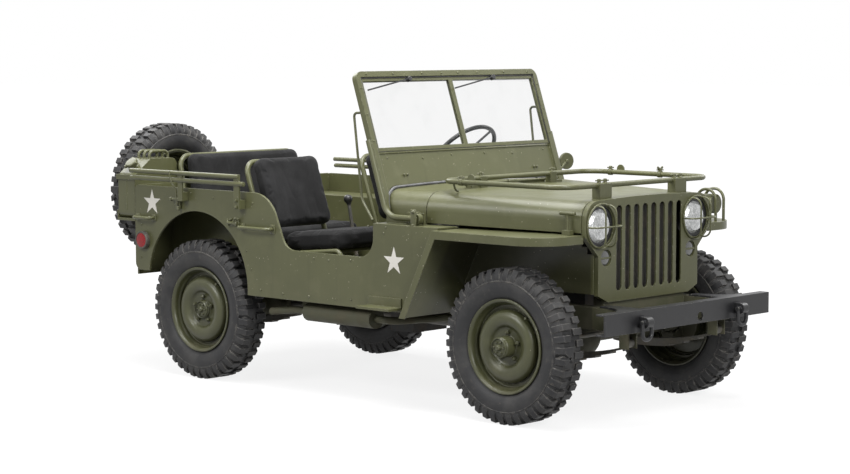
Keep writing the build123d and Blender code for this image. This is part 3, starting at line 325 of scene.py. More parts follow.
red = Finish("red_lens")
prisms = red.node("ShaderNodeTexVoronoi", {"feature": "F1"},
                  {"Vector": red.place, "Scale": 190.0}, "Distance")
red.set(Base_Color=red.mix(prisms.step(0.1, 0.6), colour(0.360, 0.008, 0.010), colour(0.190, 0.003, 0.005)),
        Roughness=0.28, Normal=red.bump(prisms, 0.4, 0.002))
red.set(Specular_IOR_Level=0.2, Coat_Weight=0.25, Coat_Roughness=0.05)
red_lens = red.material

smoked = Finish("smoked_glass")
haze = smoked.noise(60.0, 3.0)
smoked.set(Base_Color=smoked.mix(haze, colour(0.020, 0.021, 0.019), colour(0.060, 0.062, 0.056)),
           Roughness=0.12 + haze * 0.1)
smoked.set(Coat_Weight=1.0, Coat_Roughness=0.05)
smoked_glass = smoked.material

silvered = Finish("mirror_glass")
silvered.set(Base_Color=colour(0.82, 0.83, 0.84), Metallic=1.0, Roughness=0.03 + silvered.noise(30.0) * 0.05)
mirror_glass = silvered.material

# %% [markdown]
# ## White paint
# The stars are stencilled with a thin white coat: slightly grey, thin at places, so that the
# olive shows through where it is rubbed.

# %% White paint
stencil = Finish("stencil_white")
thin = stencil.noise(60.0, 5.0, 0.7)
stencil.set(Base_Color=stencil.mix(thin.step(0.58, 0.74) * 0.5, colour(0.62, 0.60, 0.55),
                                   colour(0.30, 0.30, 0.22)),
            Roughness=0.55 + thin * 0.2, Normal=stencil.bump(stencil.noise(200.0), 0.15, 0.0006))
stencil_white = stencil.material

# %% [markdown]
# ## Seat cloth
# The seats wear a dark coarse cloth. The weave is two crossed waves a few millimetres apart,
# too fine for geometry, so it goes into the bump, and the larger creases come from the mesh.

# %% Seat cloth
cloth = Finish("seat_cloth")
warp = cloth.node("ShaderNodeTexWave", {"wave_type": "BANDS", "bands_direction": "Y"},
                  {"Vector": cloth.place, "Scale": 95.0, "Distortion": 0.6, "Detail": 1.0})
weft = cloth.node("ShaderNodeTexWave", {"wave_type": "BANDS", "bands_direction": "DIAGONAL"},
                  {"Vector": cloth.place, "Scale": 95.0, "Distortion": 0.6, "Detail": 1.0})
weave = warp * weft
faded = cloth.noise(7.5, 5.0, 0.6)
slub = cloth.noise(1.0, 4.0, 0.7, cloth.stretched(240.0, 240.0, 40.0))
cloth_tint = cloth.mix(faded.step(0.34, 0.72), colour(0.008, 0.008, 0.0082), colour(0.019, 0.019, 0.0195))
cloth_tint = cloth.mix(weave * 0.35 + slub.step(0.5, 0.8) * 0.25, cloth_tint, colour(0.033, 0.032, 0.032))
cloth.set(Base_Color=cloth_tint, Roughness=0.78 + faded * 0.15,
          Normal=cloth.bump(weave + slub * 0.6, 0.35, 0.0012))
cloth.set(Specular_IOR_Level=0.12, Sheen_Weight=0.06, Sheen_Roughness=0.4)
seat_cloth = cloth.material

# %% [markdown]
# ## Dressing the CAD nodes
# A node whose shape is right keeps its mesh and only gets its finish. Pressed sheet and
# tubes on top are olive, what hangs underneath is a dustier olive, made darker as painted shade.

# %% Finishes of the CAD nodes
finishes = {
    olive: ["body_sides", "tail_panel", "cowl", "grille", "front_fenders", "hood", "hood_rail",
            "hood_catches", "windshield_frame", "windshield_sash", "steering_column", "seat_frames",
            "bow_rods", "grab_handles", "side_steps", "rear_carriers", "fuel_can", "spare_wheel",
            "blackout_lamp", "wheel_front_right", "wheel_front_left", "wheel_rear_right",
            "wheel_rear_left", "floor", "wheel_houses", "lamp_guards", "towing_plate", "mirror",
            "marker_lamps"],
    olive_under_shaded: ["frame_rails", "cross_members", "spring_hangers", "front_axle", "rear_axle", "knuckle_left",
                  "knuckle_right", "dampers", "exhaust"],
    # The headlamps take black paint as painted shade for the dark recess round each lens.
    black: ["front_bumper", "tow_shackles", "headlamps", "wipers"],
    dark_steel: ["leaf_springs", "propeller_shafts", "tie_rod", "floor_controls"],
    cast_iron: ["power_unit"],
    dull_metal: ["radiator"],
    black_plastic: ["steering_wheel"],
    pane_glass: ["windshield_panes"],
    lamp_glass: ["lamp_lenses"],
    red_lens: ["tail_lamps"],
    seat_cloth: ["front_seat_pads", "rear_seat_pads"],
    tyre_rubber: ["spare_tyre", "tyre_front_right", "tyre_front_left", "tyre_rear_right", "tyre_rear_left"],
}
for finish, names in finishes.items():
    for name in names:
        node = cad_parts[name]
        node.data.materials.clear()
        node.data.materials.append(finish)
        for polygon in node.data.polygons:
            polygon.material_index = 0
print("dressed", sum(len(names) for names in finishes.values()), "nodes")

# %% [markdown]
# ## Modelling helpers
# Small hardware is always the same few gestures: a turned shape, a rod, a plate with soft
# edges, a nut or a rivet. Each helper adds one gesture to a bmesh that is being built, and
# `settle` turns the finished bmesh into a piece that moves with its part of the car.


# %% Modelling helpers
def settle(name, form, finish, body, stands_for=(), sharp=40):
    """Closes the bmesh and makes it a piece: finish, body to ride on, nodes it replaces."""
    bmesh.ops.remove_doubles(form, verts=form.verts, dist=1e-6)
    bmesh.ops.recalc_face_normals(form, faces=form.faces)
    mesh = bpy.data.meshes.new(name)
    form.to_mesh(mesh)
    form.free()
    mesh.materials.append(finish)
    mesh.shade_smooth()
    mesh.set_sharp_from_angle(angle=math.radians(sharp))
    thing = placed(name, mesh)
    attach(thing, body)
    if stands_for:
        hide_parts(*stands_for)
    print(name, "has", len(mesh.polygons), "faces and rides on", body)
    return thing


def evaluated(thing):
    """A new mesh of a thing, with its modifiers or its curve bevel applied."""
    graph = bpy.context.evaluated_depsgraph_get()
    return bpy.data.meshes.new_from_object(thing.evaluated_get(graph))


def at(x, y, z):
    return Matrix.Translation((x, y, z))


def soften(form, edges, offset, segments):
    bmesh.ops.bevel(form, geom=list(edges), offset=offset, offset_type="OFFSET", affect="EDGES",
                    segments=segments, profile=0.5, material=-1)


def facing(place, way):
    """A frame at one point whose Z axis looks along a direction."""
    return Matrix.Translation(place) @ Vector(way).to_track_quat("Z", "Y").to_matrix().to_4x4()


def turned(form, outline, place, steps=24):
    """A turned shape: an outline of radius and height, spun about the Z axis of its place."""
    points = [form.verts.new((radius, 0, height)) for radius, height in outline]
    lines = [form.edges.new(pair) for pair in zip(points, points[1:])]
    made = bmesh.ops.spin(form, geom=points + lines, cent=(0, 0, 0), axis=(0, 0, 1),
                          angle=2 * math.pi, steps=steps, use_merge=True)
    shell = set(points) | {item for item in made["geom_last"] if isinstance(item, bmesh.types.BMVert)}
    reach = list(shell)
    while reach:
        for edge in reach.pop().link_edges:
            for other in edge.verts:
                if other not in shell:
                    shell.add(other)
                    reach.append(other)
    bmesh.ops.transform(form, matrix=place, verts=list(shell))


def rod(form, start, end, radius, steps=12):
    way = Vector(end) - Vector(start)
    spot = facing(Vector(start) + way / 2, way)
    bmesh.ops.create_cone(form, cap_ends=True, segments=steps, radius1=radius, radius2=radius,
                          depth=way.length, matrix=spot)


def slab(form, size, place=Matrix(), edge=0.002):
    """A plate with soft edges, centred on its place."""
    made = bmesh.ops.create_cube(form, size=1.0, matrix=place @ Matrix.Diagonal((*size, 1.0)))
    edges = {line for corner in made["verts"] for line in corner.link_edges}
    soften(form, edges, edge, 2)


def nut(form, place, way, across, height):
    """A hexagon nut with the end of its stud."""
    spot = facing(place, way)
    bmesh.ops.create_cone(form, cap_ends=True, segments=6, radius1=across / 2, radius2=across / 2,
                          depth=height, matrix=spot @ at(0, 0, height / 2))
    bmesh.ops.create_cone(form, cap_ends=True, segments=10, radius1=across * 0.28,
                          radius2=across * 0.22, depth=height * 0.6,
                          matrix=spot @ at(0, 0, height * 1.25))


def rivet(form, place, way, radius):
    spot = facing(place, way) @ at(0, 0, radius * 0.22)
    bmesh.ops.create_cone(form, cap_ends=True, segments=12, radius1=radius, radius2=radius * 0.58,
                          depth=radius * 0.6, matrix=spot)


print("helpers ready")

# %% [markdown]
# ## Tyres
# Each tyre carries two rows of chunky lugs, half a step apart, that run over the shoulder and
# fade into the wall as bars. The casing is one outline spun about the axle, with a fine ring
# on the wall. A lug is a flat outline, extruded across and bevelled, then turned to its place.

# %% One tyre
wall_points = [(0.2033, 0.050), (0.207, 0.0545), (0.218, 0.060)]
wall_points += [(r, 0.080 - 0.0829 + (0.0829 ** 2 - (0.272 - r) ** 2) ** 0.5)
                for r in (0.226, 0.235, 0.245, 0.256, 0.264, 0.272)]
wall_points += [(0.282, 0.0796), (0.2905, 0.0787), (0.2918, 0.0801), (0.2945, 0.0799), (0.2958, 0.0778)]
wall_points += [(0.304, 0.0760), (0.313, 0.0733), (0.322, 0.070), (0.3305, 0.0636), (0.338, 0.056)]
lug_count, lug_width, lug_tip = 42, 0.030, 0.35168


def one_lug(side, end):
    """A lug with its shoulder bar, lying along the X axis, half across each side of it."""
    form = bmesh.new()
    outline = [(0.331, end), (lug_tip, end), (lug_tip, 0.0615), (0.3285, 0.0735), (0.311, 0.0790),
               (0.2985, 0.0774), (0.300, 0.060)]
    face = form.faces.new([form.verts.new((r, side * y, -lug_width / 2)) for r, y in outline])
    made = bmesh.ops.extrude_face_region(form, geom=[face])
    far = [item for item in made["geom"] if isinstance(item, bmesh.types.BMVert)]
    bmesh.ops.translate(form, verts=far, vec=(0, 0, lug_width))
    bmesh.ops.recalc_face_normals(form, faces=form.faces)
    proud = [line for line in form.edges if min(v.co.x for v in line.verts) > 0.305
             and max(v.co.x for v in line.verts) > 0.320]
    soften(form, proud, 0.0022, 1)
    mesh = bpy.data.meshes.new("one_lug")
    form.to_mesh(mesh)
    form.free()
    return mesh


def tyre_form():
    form = bmesh.new()
    ring = wall_points + [(r, -y) for r, y in reversed(wall_points)] + [wall_points[0]]
    turned(form, ring, Matrix.Rotation(math.radians(-90), 4, "X"), 4 * lug_count)
    for side in (-1, 1):
        pair = [one_lug(side, end) for end in (0.004, 0.020)]
        for i in range(lug_count):
            first = len(form.verts)
            form.from_mesh(pair[i % 2])
            form.verts.ensure_lookup_table()
            turn = math.radians((i + 0.25 * side) * 360 / lug_count)
            bmesh.ops.rotate(form, verts=form.verts[first:], cent=(0, 0, 0),
                             matrix=Matrix.Rotation(turn, 3, "Y"))
    return form


wheel_places = {
    "front_right": at(front_axle_x, -wheel_y, axle_z),
    "front_left": at(front_axle_x, wheel_y, axle_z) @ Matrix.Rotation(math.pi, 4, "Z"),
    "rear_right": at(rear_axle_x, -wheel_y, axle_z),
    "rear_left": at(rear_axle_x, wheel_y, axle_z) @ Matrix.Rotation(math.pi, 4, "Z"),
}
wheel_places["spare"] = at(tail_x - 0.230, -0.275, 0.912) @ Matrix.Rotation(-math.pi / 2, 4, "Z")
front_hub, rear_hub = 0.100, 0.054


def at_wheels(make, name, spare_name, finish, node="", sharp=40):
    """Carries one form to each road wheel and to the spare; make gets the reach of the hub."""
    for corner, place in wheel_places.items():
        form = make(front_hub if "front" in corner else rear_hub)
        bmesh.ops.transform(form, matrix=place, verts=form.verts)
        if corner == "spare":
            title, body, solid = spare_name, "chassis", f"spare_{node}"
        else:
            title, body, solid = f"{name}_{corner}", f"wheel_{corner}", f"{node}_{corner}"
        settle(title, form, finish, body, [solid] if node else [], sharp)


at_wheels(lambda hub_reach: tyre_form(), "road_tyre", "stowed_tyre", tyre_rubber,
          "tyre", 30)

# %% [markdown]
# ## Pressed wheels
# A wheel is a rolled rim with a pressed disc in it. The disc swells into a fat ring round the
# sunken nut circle, and a deep gutter parts it from the rim. Light only shows this if the
# pressing is round, so the outline has many points and is spun finely about the axle.

# %% Pressed wheels
bore = 0.0227
ring_swell = [(0.0495, 0.0362), (0.074, 0.0360), (0.080, 0.0368), (0.0855, 0.0398),
              (0.0895, 0.0445), (0.0935, 0.0505), (0.099, 0.0565), (0.107, 0.0612),
              (0.117, 0.0640), (0.128, 0.0648), (0.139, 0.0632), (0.148, 0.0592), (0.1555, 0.0530),
              (0.161, 0.0450), (0.1645, 0.0365), (0.1665, 0.0285), (0.169, 0.0215),
              (0.174, 0.0186)]
rolled_rim = [(0.184, 0.0186), (0.1862, 0.0205), (0.1866, 0.0310), (0.1880, 0.0345),
              (0.1910, 0.0375), (0.1935, 0.0415), (0.1950, 0.0475), (0.1962, 0.0545),
              (0.1985, 0.0610), (0.2020, 0.0662), (0.2065, 0.0692), (0.2110, 0.0698),
              (0.2140, 0.0682), (0.2150, 0.0650), (0.2150, 0.0620)]
rim_back = [(0.203, 0.058), (0.203, 0.036), (0.192, 0.028), (0.192, -0.028), (0.203, -0.036),
            (0.203, -0.058), (0.215, -0.062), (0.215, -0.0685), (0.209, -0.070), (0.198, -0.062),
            (0.194, -0.042), (0.186, -0.032), (0.186, 0.012), (0.174, 0.012), (0.160, 0.042),
            (0.104, 0.042), (0.088, 0.024), (0.112, 0.024), (0.112, -0.014), (bore, -0.014),
            (bore, 0.028), (0.0, 0.028)]


def pressed_wheel(hub_reach):
    hub = [(0.0, hub_reach), (0.034, hub_reach), (0.0372, hub_reach - 0.0012), (0.0458, hub_reach - 0.0088),
           (0.0470, hub_reach - 0.0112), (0.0472, 0.0385)]
    form = bmesh.new()
    turned(form, hub + ring_swell + rolled_rim + rim_back, facing((0, 0, 0), (0, -1, 0)), 96)
    return form


# The pressed wheels and their nuts wear the darker olive, which is painted shade.
at_wheels(pressed_wheel, "pressed_wheel", "pressed_wheel_spare", olive_wheel_shaded,
          "wheel", 34)

# %% [markdown]
# ## Wheel hardware
# Five nuts hold each wheel. The front hubs end in a driving flange with a ring of bolts and a
# hexagon cap, and the rear hubs in a flat flange. A valve stands in the rim. All of it is in
# the wheel's own frame, with the outer face towards -Y, and is then carried to each corner.


# %% Wheel hardware
def wheel_hardware(hub_reach):
    form = bmesh.new()
    outward = (0, -1, 0)
    for i in range(5):
        turn = math.radians(90 + 72 * i)
        nut(form, (0.063 * math.cos(turn), -0.036, 0.063 * math.sin(turn)), outward, 0.021, 0.013)
    for i in range(6):
        turn = math.radians(60 * i)
        nut(form, (0.027 * math.cos(turn), -hub_reach, 0.027 * math.sin(turn)), outward, 0.011, 0.005)
    turned(form, [(0, 0.014), (0.009, 0.014), (0.0125, 0.010), (0.014, 0.0), (0.017, -0.001)],
           facing((0, -hub_reach, 0), outward), 18)
    turned(form, [(0.0405, 0.0), (0.0445, 0.0025), (0.0445, 0.007), (0.0405, 0.0095)],
           facing((0, -hub_reach + 0.004, 0), outward), 32)
    rod(form, (0.120, -0.016, 0.135), (0.1212, -0.054, 0.1364), 0.0042)
    rod(form, (0.1212, -0.052, 0.1364), (0.1216, -0.066, 0.1369), 0.0055)
    return form


at_wheels(wheel_hardware, "wheel_nuts", "wheel_nuts_spare", olive_wheel_shaded)

# %% [markdown]
# ## Seat pads
# The seats are slabs of horsehair in coarse cloth, so they are firm, with rounded corners and
# a slight crown. Each starts as a bevelled box a little smaller than its place, is remeshed to
# an even grid and blown up with a short cloth run. The run is capped, so that every pad stays
# near the room its solid holds, and slack folds are pressed in along the pull of the cloth.


# %% Seat pads
def stuffed(name, size, place, corner, fold_way, node):
    """A cloth slab: size is across X, Y and Z of its place, which is its centre."""
    form = bmesh.new()
    slack = Vector((0.016, 0.016, 0.012))
    bmesh.ops.create_cube(form, size=1.0, matrix=Matrix.Diagonal((*(Vector(size) - slack), 1.0)))
    upright = [line for line in form.edges
               if abs(line.verts[0].co.z - line.verts[1].co.z) > 0.5 * (size[2] - slack.z)]
    soften(form, upright, corner, 6)
    rims = [line for line in form.edges if abs(line.verts[0].co.z - line.verts[1].co.z) < 1e-6
            and len(line.link_faces) == 2 and abs(line.calc_face_angle()) > 1.0]
    soften(form, rims, 0.015, 3)
    mesh = bpy.data.meshes.new(name)
    form.to_mesh(mesh)
    form.free()
    pad = placed(name, mesh)
    grid = pad.modifiers.new("even_grid", "REMESH")
    grid.mode = "VOXEL"
    grid.voxel_size = 0.006
    even = evaluated(pad)
    pad.modifiers.clear()
    pad.data = even
    rest = [vertex.co.copy() for vertex in even.vertices]
    blown = pad.modifiers.new("blown", "CLOTH")
    blown.settings.quality = 4
    blown.settings.mass = 0.35
    blown.settings.tension_stiffness = 12
    blown.settings.compression_stiffness = 12
    blown.settings.bending_stiffness = 1.2
    blown.settings.use_pressure = True
    blown.settings.uniform_pressure_force = 4.0
    blown.settings.effector_weights.gravity = 0.0
    blown.point_cache.frame_start, blown.point_cache.frame_end = 1, 20
    for number in range(1, 21):
        bpy.context.scene.frame_set(number)
    shaped = evaluated(pad)
    pad.modifiers.clear()
    pad.data = shaped
    bpy.context.scene.frame_set(1)
    cap = 0.011
    for vertex, start in zip(pad.data.vertices, rest):
        move = vertex.co - start
        if move.length > cap:
            vertex.co = start + move * (cap / move.length)
    press_folds(pad.data, size, fold_way)
    pad.data.transform(place)
    pad.data.materials.clear()
    pad.data.materials.append(seat_cloth)
    pad.data.shade_smooth()
    fine = pad.modifiers.new("fine", "SUBSURF")
    fine.levels = fine.render_levels = 1
    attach(pad, "chassis")
    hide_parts(node)
    print(name, "has", len(pad.data.vertices), "points")
    return pad


def press_folds(mesh, size, fold_way):
    """Shallow slack folds along one way of the pad, and a sewn line round both faces."""
    along = 0 if fold_way == "X" else 1
    shifts = []
    for vertex in mesh.vertices:
        u = vertex.co[along] / size[along]
        v = vertex.co[1 - along] / size[1 - along]
        bend = noise.noise((u * 1.1 + size[0] * 7, v * 4.6, size[2] * 31))
        crease = noise.noise((u * 2.2 + 5, v * 9.0 + bend, size[0] * 13))
        flat = abs(vertex.normal.z)
        depth = -0.0020 * max(0.0, 1 - abs(crease) * 4) - 0.0022 * bend
        inset = min(size[0] / 2 - abs(vertex.co.x), size[1] / 2 - abs(vertex.co.y))
        seam = math.exp(-((inset - 0.019) / 0.0042) ** 2) * (1 if flat > 0.5 else 0)
        fade = min(1.0, max(0.0, (inset - 0.02) / 0.05))
        shifts.append(vertex.normal * (depth * flat * fade - 0.0024 * seam))
    for vertex, shift in zip(mesh.vertices, shifts):
        vertex.co += shift


def leaning(place, lean):
    """A frame on a backrest: X across the car, Y up the back, Z out of its face."""
    up = Vector((-math.sin(lean), 0, math.cos(lean)))
    out = Vector((math.cos(lean), 0, math.sin(lean)))
    turn = Matrix((Vector((0, 1, 0)), up, out)).transposed().to_4x4()
    return Matrix.Translation(place) @ turn


seat_y, seat_wide = 0.405, 0.426
tilt, back_lean, bench_lean = math.radians(5.0), math.radians(19.5), math.radians(10.0)
for side, mark in ((-1, "right"), (1, "left")):
    flat_place = at(-0.165, side * seat_y, 0.742) @ Matrix.Rotation(-tilt, 4, "Y")
    stuffed(f"seat_cushion_{mark}", (0.450, seat_wide, 0.084), flat_place, 0.045, "X", "front_seat_pads")
    back_foot = leaning((-0.498, side * (seat_y - 0.006), 0.757), back_lean)
    back_place = back_foot @ at(0, 0.194, 0.037)
    stuffed(f"seat_back_{mark}", (seat_wide + 0.012, 0.388, 0.074), back_place, 0.050, "Y", "front_seat_pads")
stuffed("bench_cushion", (0.350, 0.860, 0.080), at(-1.014, 0, 0.6923), 0.045, "X",
        "rear_seat_pads")
bench_place = leaning((-1.299, 0, 0.786), bench_lean) @ at(0, 0.1715, 0.0275)
stuffed("bench_back", (0.812, 0.343, 0.055), bench_place, 0.050, "Y", "rear_seat_pads")

# %% [markdown]
# ## White stars
# Each side carries two plain five-pointed stars, stencilled on the flat of the body. A circle
# of ten points becomes a star when every second point is pulled in by the golden ratio, and a
# hair of thickness lets the white sit on the paint.

# %% White stars
star_radius, star_inner, star_face = 0.068, 0.382, 0.7021
for side, mark in ((-1, "right"), (1, "left")):
    for x, z, end in ((-1.250, 0.879, "rear"), (0.464, 0.690, "front")):
        form = bmesh.new()
        made = bmesh.ops.create_circle(form, cap_ends=True, segments=10, radius=star_radius)
        around = sorted(made["verts"], key=lambda v: math.atan2(v.co.y, v.co.x) % (2 * math.pi))
        for i, corner in enumerate(around):
            reach = star_radius * (1 if i % 2 == 0 else star_inner)
            turn = math.radians(90 + 36 * i)
            corner.co = (reach * math.cos(turn), reach * math.sin(turn), 0)
        sheet_top = bmesh.ops.extrude_face_region(form, geom=form.faces[:])
        lifted = [item for item in sheet_top["geom"] if isinstance(item, bmesh.types.BMVert)]
        bmesh.ops.translate(form, verts=lifted, vec=(0, 0, 0.0006))
        upright = at(x, side * star_face, z) @ Matrix.Rotation(math.radians(-90 * side), 4, "X")
        if side > 0:
            upright = upright @ Matrix.Rotation(math.pi, 4, "Z")
        bmesh.ops.transform(form, matrix=upright, verts=form.verts)
        settle(f"star_{end}_{mark}", form, stencil_white, "chassis")

# %% [markdown]
# ## Windshield rubber, seal and fasteners
# A black rubber strip runs round the hinged sash, and a grey hose seals the foot of the screen
# to the arch of the cowl. The strip is thin plates in the plane of the screen, and the hose is
# a route given a round section. Bolt heads and rivets hold the panel and the top channel.


# %% Windshield rubber, seal and fasteners
def hose(form, points, radius):
    """A round bar along a route: a curve with a bevel, turned into mesh and added."""
    line = bpy.data.curves.new("hose_route", "CURVE")
    line.dimensions = "3D"
    line.bevel_depth = radius
    line.bevel_resolution = 3
    line.use_fill_caps = True
    route = line.splines.new("POLY")
    route.points.add(len(points) - 1)
    for spot, point in zip(route.points, points):
        spot.co = (*point, 1.0)
    holder = placed("hose_route", line)
    mesh = evaluated(holder)
    bpy.data.objects.remove(holder)
    form.from_mesh(mesh)


screen_lean = math.radians(18.8)
screen = leaning((0.328, 0, 1.045), screen_lean)
form = bmesh.new()
for out in (-0.0100, 0.0100):
    for side in (-1, 1):
        slab(form, (0.007, 0.362, 0.003), screen @ at(side * 0.6232, 0.331, out), 0.001)
    slab(form, (1.25, 0.007, 0.003), screen @ at(0, 0.5092, out), 0.001)
slab(form, (1.25, 0.0040, 0.018), screen @ at(0, 0.1478, 0), 0.001)
settle("screen_rubber", form, tyre_rubber, "windshield")

form = bmesh.new()
arch_half, arch_top, arch_round, crown = 0.6385, 1.0325, 0.088, 0.014
corner_y = arch_half - arch_round
corner_z = arch_top - crown * (corner_y / arch_half) ** 2 - arch_round
arch = [(-arch_half, 0.935), (-arch_half, corner_z - 0.01)]
for i in range(9):
    turn = math.radians(180 - 88 * i / 8)
    arch.append((-corner_y + arch_round * math.cos(turn), corner_z + arch_round * math.sin(turn)))
for i in range(1, 8):
    y = corner_y * (1 - i / 8)
    arch.append((-y, arch_top - crown * (y / arch_half) ** 2))
arch += [(0.0, arch_top)] + [(-y, z) for y, z in reversed(arch)]
hose(form, [(0.335 + (1.045 - z) * math.tan(screen_lean), y, z) for y, z in arch], 0.0062)
settle("cowl_seal", form, seal_rubber, "chassis")

form = bmesh.new()
screen_out = (math.cos(screen_lean), 0, math.sin(screen_lean))
slab(form, (1.25, 0.0095, 0.016), screen @ at(0, 0.1414, 0), 0.002)
for side in (-1, 1):
    for y, up in ((0.569, 0.118), (0.327, 0.108), (0.120, 0.116)):
        rivet(form, screen @ Vector((side * y, up, 0.004)), screen_out, 0.0062)
    for y in (0.463, 0.485):
        nut(form, screen @ Vector((side * y, 0.030, 0.004)), screen_out, 0.014, 0.006)
    for y in (0.585, 0.403, 0.200, 0.060):
        rivet(form, screen @ Vector((side * y, 0.527, 0.015)), screen_out, 0.0065)
    for up in (0.20, 0.33, 0.46):
        rivet(form, screen @ Vector((side * 0.641, up, 0.015)), screen_out, 0.0055)
settle("screen_fasteners", form, olive, "windshield")

# %% [markdown]
# ## Pivot brackets and hood rail clamps
# The screen folds about two pins, each in a bracket that is bolted to the cowl. The rail on
# the hood is held by split clamps, one with a wing nut. They are collars round the tube with
# a foot or a pair of ears, made from the helpers.

# %% Pivot brackets and hood rail clamps
form = bmesh.new()
pivot_x = 0.575
for side in (-1, 1):
    slab(form, (0.034, 0.005, 0.092), at(pivot_x, side * 0.6882, 0.890), 0.0018)
    slab(form, (0.030, 0.016, 0.012), at(pivot_x, side * 0.6880, 0.853), 0.003)
    for z in (0.862, 0.924):
        nut(form, (pivot_x, side * 0.6905, z), (0, side, 0), 0.016, 0.007)
settle("pivot_brackets", form, olive, "chassis")


def collar(form, place, way, radius, width):
    """A split clamp round a tube, with two ears and a bolt through them."""
    lip = width / 2
    turned(form, [(radius, -lip), (radius + 0.004, -lip + 0.001), (radius + 0.004, lip - 0.001),
                  (radius, lip), (radius - 0.001, 0), (radius, -lip)], facing(place, way), 20)
    middle = Vector(place) + Vector((0, 0, radius + 0.009))
    slab(form, (0.013, 0.013, 0.016), Matrix.Translation(middle), 0.002)
    rod(form, middle - Vector((0.012, 0.012, 0)), middle + Vector((0.012, 0.012, 0)), 0.0032, 8)


form = bmesh.new()
rail_z, rail_tube, rail_side = 1.062, 0.012, 0.550
for y in (-0.302, -0.258, 0.258, 0.302):
    collar(form, (1.350, y, rail_z), (0, 1, 0), rail_tube + 0.0004, 0.014)
for y in (-0.262, 0.262):
    collar(form, (0.610, y, rail_z), (0, 1, 0), rail_tube + 0.0004, 0.018)
for x, y in ((0.745, -rail_side), (1.048, rail_side), (0.745, rail_side)):
    collar(form, (x, y, rail_z), (1, 0, 0), rail_tube + 0.0004, 0.022)
for turn in (-1, 1):
    slab(form, (0.006, 0.020, 0.012), at(1.048, rail_side + turn * 0.013, rail_z + 0.030)
         @ Matrix.Rotation(turn * 0.5, 4, "X"), 0.002)
hose(form, [(0.700, -rail_side, rail_z - 0.011), (0.700, -rail_side + 0.006, rail_z - 0.030),
            (0.696, -rail_side + 0.022, rail_z - 0.042), (0.690, -rail_side + 0.040, rail_z - 0.046)], 0.0048)
settle("rail_clamps", form, olive, "hood")

# %% [markdown]
# ## Rivets and fittings on the body sides
# The side panels are held by rivets along the sill and the seams. The handles stand on small
# bolted plates, a lashing hook sits in front of the rear arch, and a toggle latch holds each
# pair of stowed bows. Both sides are alike, so each list is placed twice.

# %% Rivets and fittings on the body sides
side_rivets = [(-0.493, 0.912), (-0.538, 0.674), (-0.505, 0.585), (-0.437, 0.488), (-0.28, 0.482),
               (-0.065, 0.670), (0.035, 0.667), (0.182, 0.676), (-0.10, 0.484), (0.083, 0.484),
               (0.185, 0.490), (0.413, 0.845), (0.399, 0.818), (-0.78, 0.925), (-0.95, 0.940),
               (-1.335, 0.760), (-1.340, 0.590), (0.300, 0.845)]
form = bmesh.new()
skin = 0.702
for side in (-1, 1):
    for x, z in side_rivets:
        rivet(form, (x, side * skin, z), (0, side, 0), 0.0062)
settle("body_rivets", form, olive, "chassis")

form = bmesh.new()
for side in (-1, 1):
    for x, z in ((-0.565, 0.792), (-0.350, 0.792), (tail_x + 0.024, 0.800), (tail_x + 0.150, 0.800)):
        tall = 0.046 if x > -0.4 else 0.036
        slab(form, (0.034, 0.004, tall), at(x, side * (skin + 0.002), z), 0.0016)
        for up in (-1, 1):
            rivet(form, (x, side * (skin + 0.004), z + up * (tall / 2 - 0.008)), (0, side, 0), 0.0052)
    slab(form, (0.078, 0.005, 0.030), at(-0.628, side * (skin + 0.0025), 0.806), 0.002)
    rod(form, (-0.668, side * (skin + 0.012), 0.808), (-0.592, side * (skin + 0.012), 0.806), 0.0085)
    for x in (-0.660, -0.600):
        slab(form, (0.010, 0.018, 0.034), at(x, side * (skin + 0.009), 0.810), 0.002)
    for x in (-0.645, -0.615):
        nut(form, (x, side * (skin + 0.005), 0.824), (0, side, 0), 0.014, 0.007)
    hose(form, [(-0.610, side * (skin + 0.016), 0.812), (-0.604, side * (skin + 0.022), 0.830),
                (-0.590, side * (skin + 0.022), 0.836), (-0.580, side * (skin + 0.016), 0.828)], 0.0042)
settle("handle_plates", form, olive, "chassis")

form = bmesh.new()
bow_face, latch_x = 0.745, -1.058
for side in (-1, 1):
    for z in (0.890, 0.922):
        nut(form, (-0.565, side * bow_face, z), (0, side, 0), 0.017, 0.006)
    slab(form, (0.030, 0.010, 0.070), at(latch_x + 0.024, side * 0.7125, 0.890), 0.003)
    slab(form, (0.016, 0.016, 0.058), at(latch_x + 0.026, side * 0.7205, 0.905), 0.004)
    rod(form, (latch_x - 0.012, side * 0.724, 0.906), (latch_x + 0.046, side * 0.724, 0.906), 0.0065)
    nut(form, (latch_x - 0.012, side * 0.724, 0.906), (-1, 0, 0), 0.022, 0.010)
    hose(form, [(latch_x + 0.028, side * 0.728, 0.920), (latch_x + 0.030, side * 0.732, 0.955),
                (latch_x + 0.018, side * 0.748, 0.985), (latch_x + 0.008, side * 0.7535, 1.020),
                (latch_x + 0.004, side * 0.7535, 1.050)], 0.0042)
    rod(form, (latch_x + 0.030, side * 0.720, 0.872), (latch_x + 0.034, side * 0.723, 0.850), 0.0060)
settle("bow_latches", form, olive, "chassis")

# %% [markdown]
# ## Lamp rims, marker glass and the mirror
# The red lamps sit in rolled metal rims, the marker lamps are small dark domes behind a bar,
# and the mirror is a glass in a shallow dish. All are turned shapes.

